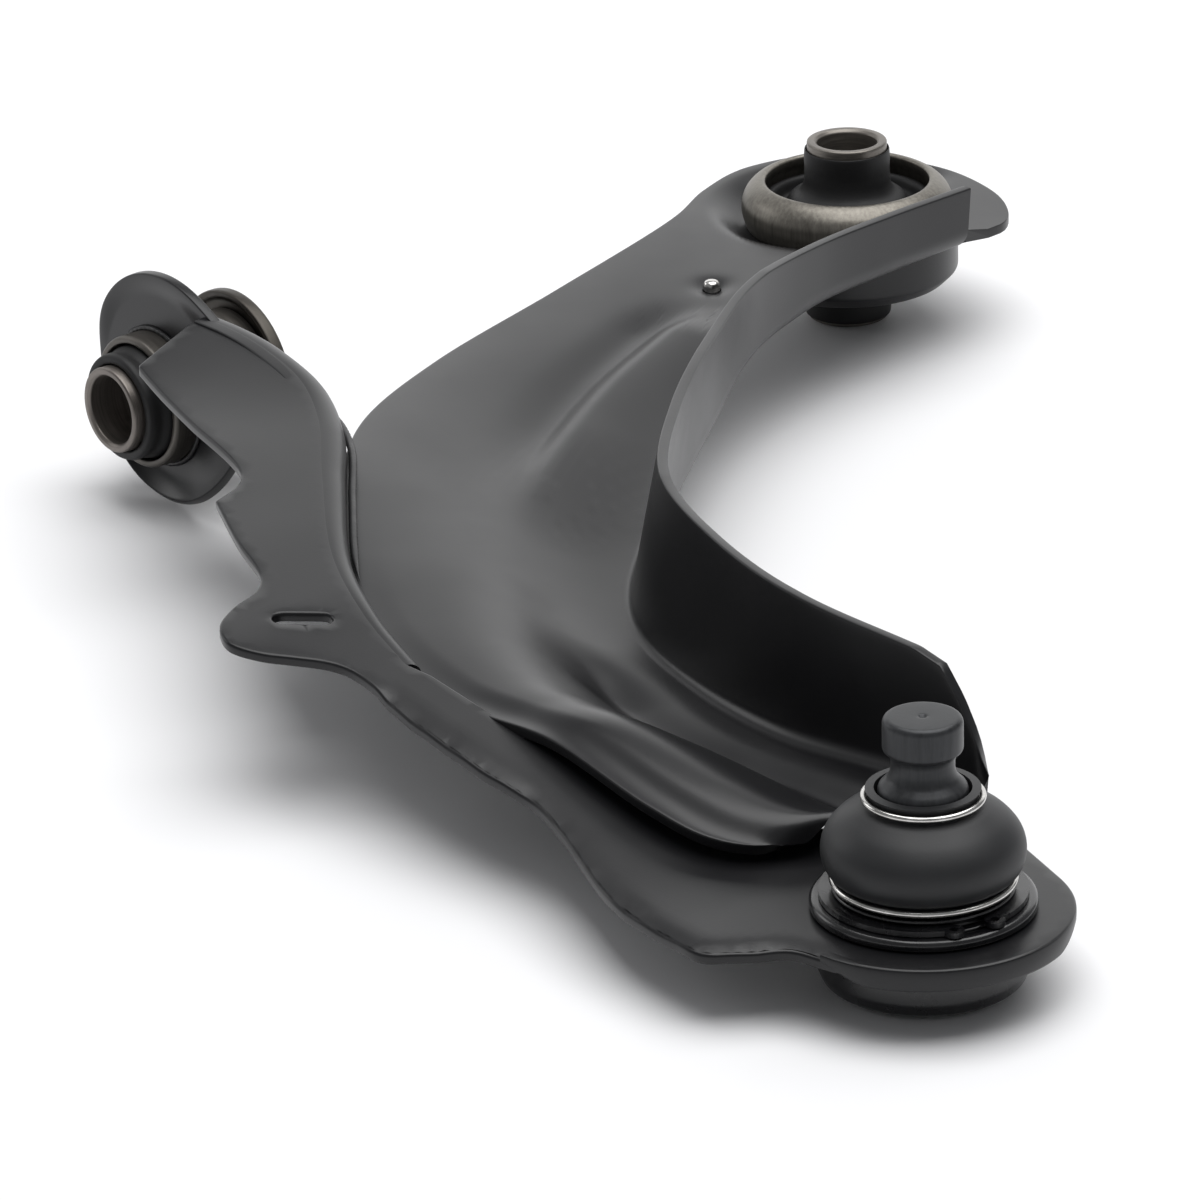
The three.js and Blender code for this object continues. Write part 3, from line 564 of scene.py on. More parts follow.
def shell_middle():
    """Middle surface rows. Flat: outer edge to the bend's start, z eased between them plus the
    pressed height. Bend: an arc of radius R up to the wall's angle. Wall: straight to the top.
    R is 6 mm and the wall leans 1 mm, but in a bell round s = 0.62 they go to 4 and 7.5 mm."""
    s = np.linspace(0, 1, ALONG)
    outer, foot = smooth_curve(OUTER_EDGE, ALONG), smooth_curve(WALL_LINE, ALONG)
    along = np.gradient(foot[:, :2], axis=0)
    gap_way = unit(np.stack([-along[:, 1], along[:, 0]], -1))
    corner = bump(s, 0.62, 0.16)
    lean, radius = 1.0 + 6.5 * corner, 6.0 - 2.0 * corner
    start = foot.copy()
    start[:, :2] -= gap_way * (radius + lean)[:, None]
    top_z = np.interp(foot[:, 0], WALL_TOP_X, WALL_TOP_Z)
    top_z = np.maximum(top_z, start[:, 2] + 4)
    t = np.linspace(0, 1, ACROSS, endpoint=False)[None, :]
    flat = outer[:, None] + (start - outer)[:, None] * t[..., None]
    flat[..., 2] = outer[:, 2:3] + (start - outer)[:, 2:3] * ease(t)
    flat[..., 2] += pressed_height(s[:, None], t, flat[..., :2]) - SHEET / 2
    z0 = start[:, 2] - SHEET / 2
    # The wall's angle depends on where the bend ends, and that on the angle: four rounds settle it.
    angle = np.full(ALONG, np.pi / 2)
    for _ in range(4):
        rise = top_z - z0 - radius * (1 - np.cos(angle))
        angle = np.arctan2(rise, radius + lean - radius * np.sin(angle))
    a = np.linspace(0, 1, BEND)[None, :] * angle[:, None]
    bend = np.zeros((ALONG, BEND, 3))
    bend[..., :2] = start[:, None, :2] + gap_way[:, None] * (radius[:, None] * np.sin(a))[..., None]
    bend[..., 2] = z0[:, None] + radius[:, None] * (1 - np.cos(a))
    sunk = pressed_height(s, 1.0, start[:, :2])[:, None] * (1 - ease(np.linspace(0, 1, BEND)))
    bend[..., 2] += sunk
    top = np.column_stack([foot[:, :2], top_z])
    u = np.linspace(0, 1, UP + 1)[None, 1:, None]
    wall = bend[:, -1:] + (top[:, None] - bend[:, -1:]) * u
    return np.concatenate([flat, bend, wall], axis=1)


# %% [markdown]
# The barrel of the rear bush and a small bright pip stand in holes. They are cut out after the
# sheet has its thickness, as a press pierces them last, by a Boolean modifier that is applied at
# once. Rims built into the grid would be cleaner, but they would bend every row round two holes.

# %% Make the main pressing
REAR_HOLE, PIP_HOLE = 30.6, 2.9
shell = piece("main_pressing", [thick_sheet(shell_middle())], BLACK_COAT, "arm", ["main_shell"])
HOLE_CUTS = [
    lathe([(0, 20), (REAR_HOLE, 20), (REAR_HOLE, 70), (0, 70)], REAR, closed=False),
    lathe([(0, 20), (PIP_HOLE, 20), (PIP_HOLE, 60), (0, 60)], PIP, closed=False, segments=32),
]
for hole in HOLE_CUTS:
    cut(shell, [hole])
print("main pressing box, mm:", [round(v * 1000, 1) for v in shell.dimensions])

# %% [markdown]
# ## The front pressing
# The second sheet starts as an upright yoke round the front bush's tube, and runs along the
# arm's front as a flat band with an ear, to the round nose that carries the ball joint. Its
# outline is a closed line, so the flat is filled with small triangles inside that line, and the
# height of each point comes from one function. The rim gets its own small radius.

# %% Heights and outline of the front pressing
PLATE_X = [30, 38, 50, 62, 90, 123, 160, 199, 225, 250, 275, 300, 325, 345, 362, 450]
PLATE_Z = [61.0, 60.2, 58.6, 57.2, 54.8, 52, 48.6, 44.4, 40, 36, 32.6, 28.5, 24.6, 21.6, 20.4, 20.4]
SHOULDER_LINE = [(38, -18), (50, -16), (64, -15.6), (84, -18.4), (106, -29), (135, -50), (176, -78),
                 (206, -91), (232, -97.5)]
FRONT_EDGE = [
    (131, -84), (155, -94.5), (174, -101.5), (180, -107.5), (184, -118), (190, -127), (199, -131),
    (207, -127.5), (214, -120.5), (220, -114.8), (227, -112), (256, -113.6), (282, -113.8),
    (302, -112.3), (317, -115.6), (334, -121.3), (350, -125.8), (374, -127.6), (385, -127),
    (392, -119), (398, -110.5), (410, -107),
]
NOSE_RADIUS = 37.6
NOSE_LIP = 6.0
COLLAR_HOLE = 24.0
SLOT = {"x": 199.0, "y": -106.6, "length": 16.0, "width": 6.2, "angle": 56.0}
SMOOTHING = 17
ROLL_DEPTH, ROLL_WIDTH, ROLL_START = 1.4, 7, 95
fine_x = np.arange(20.0, 460.0, 1.0)
plate_line = np.pad(np.interp(fine_x, PLATE_X, PLATE_Z), SMOOTHING // 2, mode="edge")
fine_z = np.convolve(plate_line, np.ones(SMOOTHING) / SMOOTHING, "valid")
front_line = smooth_curve(FRONT_EDGE, 220)


def level_at(x, y):
    """Height along the arm, plus a cross slope of one in ten that dies out from x = 50 to 110."""
    return np.interp(x, fine_x, fine_z) + 0.1 * (y + 40) * (1 - ease((x - 50) / 60))


def plate_height(xy):
    """Height of the plate's top: the smoothed fall from bush to nose, less a soft roll of
    1.4 (1 - d/7)^2 mm within 7 mm of the free front edge beyond the ear."""
    z = level_at(xy[:, 0], xy[:, 1])
    d = np.sqrt(((xy[:, None] - front_line[None, ROLL_START:]) ** 2).sum(-1)).min(1)
    return z - ROLL_DEPTH * np.clip(1 - d / ROLL_WIDTH, 0, 1) ** 2


print("plate top at the bush and at the nose, mm:", fine_z[0].round(1), fine_z[-1].round(1))

# %% [markdown]
# The plate's edge is one closed line in plan. Round stretches are arcs, free ones are smooth
# curves, and a few straight stations lie hidden under the tongue. It could be a Bezier curve set
# by hand, but as an array it can also tell the fill which points lie inside.


# %% Outline of the front pressing
def arc(centre, radius, first, last, count):
    """Points on a circle from one angle to another, in degrees."""
    a = np.radians(np.linspace(first, last, count))
    return np.stack([centre[0] + radius * np.cos(a), centre[1] + radius * np.sin(a)], -1)


def resample(line, spacing, closed=True):
    """The same line with points at equal steps of about `spacing` mm."""
    line = np.vstack([line, line[:1]]) if closed else np.asarray(line, float)
    length = np.r_[0, np.cumsum(np.linalg.norm(np.diff(line, axis=0), axis=1))]
    count = int(round(length[-1] / spacing))
    at = np.linspace(0, length[-1], count, endpoint=not closed)
    return np.stack([np.interp(at, length, c) for c in line.T], -1)


def plate_outline():
    """The plate's closed edge, anticlockwise: corner at the bush, ear, lobe, round nose, then
    back under the tongue and along the shoulder."""
    nose_start = math.degrees(math.atan2(-107 - BALL[1], 410 - BALL[0]))
    ear_corner = smooth_curve([(47.6, -49), (85, -58.7), (121, -68), (127, -74), (131, -84)], 40)
    return np.vstack([
        [(38, -18), (38.6, -25), (43, -37)], ear_corner, front_line[1:-1],
        arc(BALL, NOSE_RADIUS, nose_start, 75, 60),
        [(392, -28), (354, -34), (352, -62), (340, -72), (318, -76), (298, -79), (284, -86), (275, -94),
         (240, -95.5)],
        smooth_curve(SHOULDER_LINE, 60)[::-1],
    ])


# %% [markdown]
# The rims are swept first, with the small radius of a cut edge, and the flat between them is
# filled with triangles. A Boolean could cut the slot and the hole, but it would leave them sharp.


# %% Rims and fill of the front pressing
EDGE_RADIUS = 0.8
RIM_STEPS = [(EDGE_RADIUS, 0), (0.35, -0.12), (0.06, -0.5), (0, -1.0), (0, -2.1), (0.1, -2.6),
             (EDGE_RADIUS, -SHEET)]
FILL_SPACING, EDGE_CLEARANCE = 3.0, 1.3


def rim(line, height, inward):
    """Rounded rim round a closed line: seven columns of (inward, up) steps, from the top skin
    over two small radii to the bottom one. `inward` is +1 where the sheet lies left of the line
    and -1 for a hole."""
    ahead = unit(np.roll(line, -1, 0) - np.roll(line, 1, 0))
    left = np.stack([-ahead[:, 1], ahead[:, 0]], -1) * inward
    columns = [np.column_stack([line + left * away, height + up]) for away, up in RIM_STEPS]
    return np.stack(columns, 1), grid_faces(len(line), len(RIM_STEPS), True, False)


def inside(points, line):
    """True where a point lies inside a closed line: it crosses the line an odd number of times."""
    x, y = points[:, :1], points[:, 1:]
    x1, y1 = line[:, 0][None], line[:, 1][None]
    x2, y2 = np.roll(x1, -1, 1), np.roll(y1, -1, 1)
    crosses = (y1 > y) != (y2 > y)
    at = x1 + (y - y1) * (x2 - x1) / np.where(np.abs(y2 - y1) < 1e-12, 1e-12, y2 - y1)
    return (crosses & (x < at)).sum(1) % 2 == 1


def between(points, loops):
    """True for the points inside the first loop and outside all the others."""
    keep = inside(points, loops[0])
    for hole in loops[1:]:
        keep &= ~inside(points, hole)
    return keep


def slot_edge():
    """The ear's slot: two half circles and the straight sides between them, turned in plan."""
    turn = math.radians(SLOT["angle"])
    half = (SLOT["length"] - SLOT["width"]) / 2
    ends = np.vstack([arc((half, 0), SLOT["width"] / 2, -90, 90, 12),
                      arc((-half, 0), SLOT["width"] / 2, 90, 270, 12)])
    spin = np.array([[math.cos(turn), math.sin(turn)], [-math.sin(turn), math.cos(turn)]])
    return resample(ends @ spin + [SLOT["x"], SLOT["y"]], 0.9)


def filled(loops, low, high):
    """Plan points and triangles between the loops: a square grid of points, none of them near an
    edge, joined to the loops by a constrained Delaunay triangulation."""
    gx, gy = np.meshgrid(np.arange(low[0], high[0], FILL_SPACING), np.arange(low[1], high[1], FILL_SPACING))
    fill = np.column_stack([gx.ravel(), gy.ravel()])
    fill = fill[between(fill, loops)]
    border = np.vstack(loops)
    away = np.sqrt(((fill[:, None] - border[None]) ** 2).sum(-1)).min(1)
    fill = fill[away > EDGE_CLEARANCE]
    edges, start = [], 0
    for loop in loops:
        k = np.arange(len(loop))
        edges += np.column_stack([k + start, (k + 1) % len(loop) + start]).tolist()
        start += len(loop)
    found = delaunay_2d_cdt([Vector(p) for p in np.vstack([border, fill])], edges, [], 0, 1e-6)
    xy = np.array([tuple(p) for p in found[0]])
    triangles = np.array([t for t in found[2] if len(t) == 3])
    return xy, triangles[between(xy[triangles].mean(1), loops)]


def plate_flat():
    """Every rim, then the top and bottom skins. Their heights are plate_height for the top and
    3 mm less for the bottom."""
    outline = resample(plate_outline(), 1.6)
    hole_line = arc(BALL, COLLAR_HOLE, 0, 360, 97)[:-1]
    edges = ((outline, 1), (slot_edge(), -1), (hole_line, -1))
    rims = [rim(line, plate_height(line), inward) for line, inward in edges]
    xy, triangles = filled([grid[:, 0, :2] for grid, _ in rims], outline.min(0), outline.max(0))
    z = plate_height(xy)
    # The rims take their height at the edge itself, so the skin's border does too.
    border = np.vstack([grid[:, 0] for grid, _ in rims])
    near = np.abs(xy[:, None] - border[None, :, :2]).sum(-1)
    hit = near.min(1) < 1e-5
    z[hit] = border[near[hit].argmin(1), 2]
    top = (np.column_stack([xy, z]), triangles.tolist())
    bottom = (np.column_stack([xy, z - SHEET]), triangles[:, ::-1].tolist())
    return [*rims, top, bottom]


# %% [markdown]
# The plate turns down towards the main pressing in a rounded shoulder, deep at the bush and
# shallow at the far end. It is a strip of thick sheet: level, round a quarter circle, then down.
# A bevel on the plate's edge could round it too, but not with a radius that shrinks on the way.


# %% The shoulder
FOOT_X = [44, 88, 118, 155, 195, 232]
FOOT_Z = [41, 42, 42.4, 40.4, 37.2, 34.8]
BUSH_BEND, FAR_BEND = 6, 2.4


def shoulder_radius(s):
    """Radius of the shoulder's bend, eased from 6 mm at the bush to 2.4 mm at the far end."""
    return BUSH_BEND + (FAR_BEND - BUSH_BEND) * ease(s)


def shoulder_middle(count=120):
    """Rows along the shoulder line; columns run level, round an arc of radius 6 to 2.4 mm, and
    down to just above the main pressing."""
    line = smooth_curve(SHOULDER_LINE, count)
    s = np.linspace(0, 1, count)
    ahead = unit(np.gradient(line, axis=0))
    inward = np.stack([-ahead[:, 1], ahead[:, 0]], -1)
    level = level_at(line[:, 0], line[:, 1]) - SHEET / 2 - 0.05
    radius = shoulder_radius(s)
    foot_z = np.interp(line[:, 0], FOOT_X, FOOT_Z)
    a = np.linspace(0, np.pi / 2, 10)[None, :]
    reach = np.concatenate([np.tile([-4.0, -2.0], (count, 1)), radius[:, None] * np.sin(a)], 1)
    drop = np.concatenate([np.zeros((count, 2)), radius[:, None] * (1 - np.cos(a))], 1)
    z = level[:, None] - drop
    low = np.minimum(z[:, -1] - 0.6, foot_z + 4 * ease((s - 0.8) / 0.2))
    u = np.linspace(0, 1, 7)[None, 1:]
    z = np.concatenate([z, z[:, -1:] + (low - z[:, -1])[:, None] * u], 1)
    reach = np.concatenate([reach, np.repeat(reach[:, -1:], 6, 1)], 1)
    xy = line[:, None] + inward[:, None] * reach[..., None]
    return np.concatenate([xy, z[..., None]], -1)


# %% [markdown]
# The yoke is a ring of thick sheet whose outer radius changes with the angle: it rises to a blunt
# fin above the tube, and is dished forward like a scoop below it. An extruded outline could stand
# for it, but it would be flat. The nose's rim is turned down a little, which stiffens it.


# %% Yoke and nose lip
YOKE_Y = -16.0
TUBE_RADIUS = 19.7
YOKE_ANGLE = np.array([0, 28, 50, 90, 135, 180, 225, 270, 300, 360])
YOKE_RADIUS = [39, 46.5, 40.5, 37, 33, 27.5, 26, 28.7, 31.8, 39]
LIP_FIRST, LIP_LAST, LIP_EASE = -84, 42, 22


def yoke_shell(turns=160, rings=22):
    """Ring of sheet in the plane y = -16: radius from the tube to R(angle), smoothed, and pushed
    forward by a scoop that grows with the square of the way out below the tube, and by a dish
    on the fin."""
    angle = np.linspace(0, 360, turns, endpoint=False)
    wide = np.interp(np.r_[angle - 360, angle, angle + 360],
                     np.r_[YOKE_ANGLE - 360, YOKE_ANGLE, YOKE_ANGLE + 360], np.tile(YOKE_RADIUS, 3))
    weights = bump(np.arange(-8, 9), 0, 4)
    wide = np.convolve(wide, weights / weights.sum(), "same")[turns:2 * turns]
    a = np.radians(angle)[:, None]
    k = np.linspace(0, 1, rings)[None, :]
    r = TUBE_RADIUS + 0.6 + (wide[:, None] - TUBE_RADIUS - 0.6) * k
    below = ease(-np.sin(a) * 1.3)
    fin = ease((np.sin(a) - 0.2) / 0.5)
    y = YOKE_Y - 4 * below * k**2 - 1.2 * fin * ease((k - 0.6) / 0.4)
    middle = np.stack([FRONT_X + r * np.cos(a), y + 0 * r, FRONT_Z + r * np.sin(a)], -1)
    padded = np.concatenate([middle[-2:], middle, middle[:2]])
    loop, _ = thick_sheet(padded)
    loop = loop[2:-2]
    return loop, grid_faces(turns, loop.shape[1], True, True)


def nose_lip_shell(count=90):
    """Turned-down rim of the nose: a rounded section swept round the ball's axis, its depth
    falling from 6 mm to the sheet's own 3 mm at both ends."""
    angle = np.linspace(LIP_FIRST, LIP_LAST, count)
    ends = ease((angle - LIP_FIRST) / LIP_EASE) * ease((LIP_LAST - angle) / LIP_EASE)
    depth = SHEET + (NOSE_LIP - SHEET) * ends
    a = np.radians(angle)[:, None]
    out, inn = NOSE_RADIUS + 0.05, NOSE_RADIUS - 2.6
    r = np.array([inn, out - 0.8, out - 0.25, out, out, out - 0.3, out - 0.9, inn + 0.6, inn])[None]
    drop = np.array([0, 0, 0.22, 0.75, 1, 1, 1, 1, 1])[None]
    z = NOSE_Z - 0.03 - np.where(drop < 1, drop, 0) - np.where(drop == 1, depth[:, None], 0)
    z = z + np.array([0, 0, 0, 0, 0.9, 0.3, 0, 0, 0.5])[None]
    points = np.stack([BALL[0] + r * np.cos(a), BALL[1] + r * np.sin(a), z], -1)
    n = points.shape[1]
    faces = grid_faces(count, n, False, True).tolist()
    faces += [list(range(n))[::-1], [(count - 1) * n + k for k in range(n)]]
    return points, faces


# %% [markdown]
# On the real arm plate, shoulder, yoke and lip are one pressing. A Boolean union could join them,
# but it is slow and can leave slivers, so they stay four closed shells that meet at their bends.

# %% Make the front pressing
piece("front_pressing", plate_flat(), BLACK_COAT, "arm", ["front_plate"])
for name, shape in (
    ("front_shoulder", thick_sheet(shoulder_middle())),
    ("front_yoke", yoke_shell()),
    ("nose_lip", nose_lip_shell()),
):
    piece(name, [shape], BLACK_COAT, "arm", ["front_plate"])

# %% [markdown]
# ## The rear bush
# A pressed ring barrel holds a rubber block, and the rubber grips a steel sleeve. The barrel's
# top lip is rolled over the rubber. The rubber is made as an upper and a lower piece.

# %% Rear bush profiles
FIT_GAP, BARREL_WALL = 0.3, 2.4
barrel_out = REAR_HOLE - FIT_GAP
barrel_in = barrel_out - BARREL_WALL
BARREL = [(barrel_in, 14.6), (barrel_out - 0.8, 14.6), (barrel_out, 15.4), (barrel_out, 28.5), (31.6, 31),
          (32.6, 34.5), (32.5, 38), (31.2, 41), (29, 43.3), (26.4, 44.6), (25, 44), (25.4, 42.2),
          (26.8, 40), (barrel_in, 36)]
COLLAR_UNDER = [(REAR_HOLE, 14.2), (26.5, 13.6), (26.5, 12.6), (30.4, 13), (34, 16.6), (34, 31),
                (33.6, 32), (REAR_HOLE, 32)]
inner, outer = 12.6, REAR_HOLE - 2 * FIT_GAP - BARREL_WALL
RUBBER_TOP = [(inner, 28), (outer, 28), (outer, 35.5), (outer - 1.6, 38.4), (outer - 4.2, 38.6),
              (22.4, 34.5), (19.8, 35), (18.2, 38.4), (17, 39.6), (14.4, 41), (13.3, 43.4), (13, 47),
              (13.2, 51), (13.1, 54.2), (inner, 54.4)]
RUBBER_BASE = [(inner, 1.2), (13.2, 1.2), (13.4, 6), (14.2, 12), (17.5, 15), (20.5, 19), (24, 18),
               (outer, 15), (outer, 28), (inner, 28)]
REAR_TUBE = [(9.2, 0.9), (10.1, 0), (11.9, 0), (12.3, 0.4), (12.3, 56.4), (11.9, 56.8), (10.1, 56.8),
             (9.2, 55.9)]
print("rubber wall of the rear bush, mm:", round(outer - inner, 2))

# %% [markdown]
# The barrel goes into the pierced hole, and a collar under the sheet carries its weld. The collar's
# top follows the dish, so its points are moved down after the sweep. A Shrinkwrap modifier could
# press it against the sheet, but the dish is already a formula.

# %% Rear bush pieces
turned("rear_barrel", BARREL, 1.2, REAR, BARREL_STEEL, "arm", "rear_bush_outer_shell")
collar_points, collar_faces = lathe(rounded(COLLAR_UNDER, 0.8), REAR)
collar_points[..., 2] -= bush_dish(collar_points[..., :2]) * ease((collar_points[..., 2] - 18) / 8)
piece("rear_collar", [(collar_points, collar_faces)], BLACK_COAT, "arm", ["rear_bush_collar"],
      TURNED_SHARP)
top_rubber = turned("rear_rubber_top", RUBBER_TOP, 1.6, REAR, RUBBER, None, "rear_bush_rubber")
base_rubber = turned("rear_rubber_base", RUBBER_BASE, 1.6, REAR, RUBBER, None, "rear_bush_rubber")
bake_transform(top_rubber)
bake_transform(base_rubber)
turned("rear_sleeve_tube", REAR_TUBE, 0.35, REAR, SLEEVE_STEEL_UPRIGHT, "rear_sleeve",
       "rear_bush_inner_sleeve")

# %% [markdown]
# ## The front bush
# This one lies along the arm's front axis. Its outer tube is welded into the yoke, a dished stop
# washer closes the far end, and rubber bonds the tube to the inner sleeve. Cylinders with bevels
# could stand for them, but a profile also gives the rubber its lips and the washer its dish.

# %% Front bush pieces
TUBE = [(17.5, -26), (19.0, -26), (TUBE_RADIUS, -25.2), (TUBE_RADIUS, 9.5), (17.5, 9.5)]
WASHER = [(17.5, 9.8), (22, 9.8), (23.2, 8.2), (24.7, 7.8), (25.2, 8.6), (25.2, 11.4), (24.2, 12.4),
          (17.5, 12.4)]
FRONT_RUBBER = [(13, -32.6), (15.4, -32.6), (16, -31), (15.6, -28), (16.8, -25.5), (16.8, -22), (15.6, -20.4),
                (17.2, -18.5), (17.2, 10), (15.8, 12), (14.6, 12.8), (14.4, 13.6), (13, 13.6)]
FRONT_TUBE_IN = [(10.2, -34.7), (11, -35.5), (12.3, -35.5), (12.7, -35.1), (12.7, 17.1), (12.3, 17.5),
                 (11, 17.5), (10.2, 16.7)]
FRONT = (FRONT_X, FRONT_Z)
for name, profile, radius, material, body, node, slot in (
    ("front_tube", TUBE, 0.6, TUBE_STEEL, "arm", "front_bush_outer_tube", "black_coat"),
    ("stop_washer", WASHER, 0.8, WASHER_STEEL, "arm", "front_bush_stop_washer", "bare_steel"),
    ("front_rubber", FRONT_RUBBER, 0.9, RUBBER, "arm", "front_bush_rubber", "rubber"),
    ("front_sleeve_tube", FRONT_TUBE_IN, 0.35, SLEEVE_STEEL, "front_sleeve", "front_bush_inner_sleeve",
     "sleeve_steel"),
):
    turned(name, profile, radius, FRONT, material, body, node, "y")

# %% [markdown]
# ## The ball joint
# The housing is pressed up through the nose and held by a spring clip. The stud's ball turns in
# a plastic cup. The cup is hidden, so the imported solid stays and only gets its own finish. The
# rest could be scaled primitives, but real edges come from profiles. The ball is an arc of the
# stud's own profile, joined to the neck where their radii agree.

# %% Ball joint profiles
COLLAR = [(24, 20.7), (28.2, 20.7), (28.4, 22.6), (27.6, 23.6), (24.8, 23.6), (24, 22.8)]
HOUSING = [(21, 3.6), (21, 0.5), (23, 0.8), (25.4, 2.4), (26.6, 5.2), (26.6, 15.1), (25.2, 17.1),
           (23.4, 17.1), (23.4, 23.6), (21, 23.6), (21, 25.6), (22.8, 25.6), (22.8, 26.6),
           (14.6, 26.6), (14, 26), (14, 24.2), (17.2, 24.2), (17.2, 3.6)]
END_CAP = [(0, 0.1), (15, 0.1), (17.5, 0.8), (20.7, 1.2), (20.7, 3.3), (0, 3.3)]
BALL_Z, BALL_RADIUS, NECK_RADIUS = 16.0, 12.0, 6.6
join = math.acos(NECK_RADIUS / BALL_RADIUS)
ball_arc = np.linspace(-math.pi / 2, join, 26)
ball_line = np.stack([BALL_RADIUS * np.cos(ball_arc), BALL_Z + BALL_RADIUS * np.sin(ball_arc)], -1)
ball_line[0, 0] = 0
NECK = [(NECK_RADIUS, 27), (10.2, 47), (11.4, 51.4), (10.9, 53), (8.6, 55.2), (7.9, 57.4), (7.9, 60),
        (8.6, 61.8), (10, 62.6), (10, 70.1), (9.1, 71.2), (1.2, 71.2), (0.8, 70.8), (0, 70.7)]
stud_line = np.vstack([ball_line[:-1], rounded([tuple(ball_line[-1]), *NECK], 0.9, closed=False)])

print("stud length above the ball's middle, mm:", round(NECK[-1][1] - BALL_Z, 1))

# %% [markdown]
# Collar, housing and end cap ride on the arm. The stud rides on the last of three bodies, which
# swivel, tilt and spin about the ball's middle.


# %% Ball joint pieces
def recoat(node, material):
    """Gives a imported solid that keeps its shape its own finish."""
    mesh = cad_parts[node].data
    mesh.materials.clear()
    mesh.materials.append(material)
    print(f"{node}: {material.name}")


turned("joint_collar", COLLAR, 0.7, BALL, DARK_STEEL, "arm", "ball_joint_collar")
turned("joint_housing", HOUSING, 0.7, BALL, DARK_STEEL, "arm", "ball_joint_housing")
turned("joint_end_cap", END_CAP, 0.6, BALL, DARK_STEEL, "arm", "ball_joint_end_cap",
       closed=False)
piece("stud_turned", [lathe(stud_line, BALL, closed=False)], STUD_STEEL, "stud", ["ball_stud"],
      TURNED_SHARP)
recoat("ball_seat", POLYMER)

# %% [markdown]
# A rubber boot keeps the grease in. It is a thin bulged sleeve, held by a wire ring at its foot
# and another at its neck. Cloth could hold such a shape, but moulded rubber keeps it by itself.
# The neck ring rides on the stud's tilt body and the foot ring on the arm.

# %% Boot and its rings
BOOT_OUT = smooth_curve([(21.4, 27.4), (21.7, 29.3), (23.4, 30.5), (24.9, 33), (25.4, 36.6), (24.4, 40.4),
                         (21.4, 44.2), (17.2, 47.1), (14.2, 48.7), (13.7, 49.8), (13.8, 51.2),
                         (14.3, 52.2)], 60)
BOOT_IN = smooth_curve([(12.1, 52.4), (11.9, 51.2), (12, 48.6), (15, 45.8), (19.2, 42.8), (22, 39.4),
                        (23.1, 36.6), (22.4, 33.4), (20.4, 31), (19.2, 29.6), (19.3, 27.4)], 50)
boot = piece("boot", [lathe(np.vstack([BOOT_OUT, BOOT_IN]), BALL)], BOOT_RUBBER, None, ["dust_boot"],
             TURNED_SHARP)
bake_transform(boot)
RING_STEPS, WIRE_SIDES = 120, 14


def wire_ring(radius, height, wire):
    """A closed ring of round wire: ((R + w cos b) cos a, (R + w cos b) sin a, z + w sin b)."""
    a = np.linspace(0, 2 * np.pi, RING_STEPS, endpoint=False)[:, None]
    b = np.linspace(0, 2 * np.pi, WIRE_SIDES, endpoint=False)[None, :]
    r = radius + wire * np.cos(b)
    z = height + wire * np.sin(b) + 0 * a
    points = np.stack([BALL[0] + r * np.cos(a), BALL[1] + r * np.sin(a), z], -1)
    return points, grid_faces(RING_STEPS, WIRE_SIDES, True, True)


piece("boot_foot_ring", [wire_ring(22.5, 28.3, 0.9)], BRIGHT_WIRE, "arm", ["boot_lower_ring"],
      TURNED_SHARP)
piece("boot_neck_ring", [wire_ring(14.7, 50, 0.85)], BRIGHT_WIRE, "stud_tilt", ["boot_upper_ring"],
      TURNED_SHARP)

# %% [markdown]
# ## Welds, pip and clip
# Weld beads are wires of metal with a ripple, because a bead is laid as a row of overlapping
# puddles. A bevelled curve could follow the joint, but its thickness would not swell puddle by
# puddle.


# %% Weld bead shapes
BEAD_SIDES = 14
BEAD_LEAST, BEAD_SWELL = 0.9, 0.12


def beaded(centre_line, across, up, size, ripple=2.2, closed=False):
    """A weld bead: a round section carried along a line, its radius going from 0.9 to 1.02 of
    its size with the absolute sine of the distance along it, one swell for each puddle."""
    step = np.linalg.norm(np.diff(centre_line, axis=0), axis=1)
    along = np.r_[0, np.cumsum(step)][:, None]
    radius = size * (BEAD_LEAST + BEAD_SWELL * np.abs(np.sin(np.pi * along / ripple)))
    b = np.linspace(0, 2 * np.pi, BEAD_SIDES, endpoint=False)[None, :]
    points = centre_line[:, None] + radius[..., None] * (across[:, None] * np.cos(b)[..., None]
                                                         + up[:, None] * np.sin(b)[..., None])
    rows = len(centre_line)
    faces = grid_faces(rows, BEAD_SIDES, closed, True).tolist()
    if not closed:
        faces.append(list(range(BEAD_SIDES))[::-1])
        faces.append([(rows - 1) * BEAD_SIDES + k for k in range(BEAD_SIDES)])
    return points, faces


def ring_bead(centre, radius, level, size, axis):
    """A bead that closes round a tube, on an upright axis or along y."""
    a = np.linspace(0, 2 * np.pi, 240, endpoint=False)
    c, s, o = np.cos(a), np.sin(a), 0 * a
    if axis == "z":
        line = np.stack([centre[0] + radius * c, centre[1] + radius * s, o + level], -1)
        return beaded(line, np.stack([c, s, o], -1), np.stack([o, o, o + 1], -1), size, closed=True)
    line = np.stack([centre[0] + radius * c, o + level, centre[1] + radius * s], -1)
    return beaded(line, np.stack([c, o, s], -1), np.stack([o, o + 1, o], -1), size, closed=True)


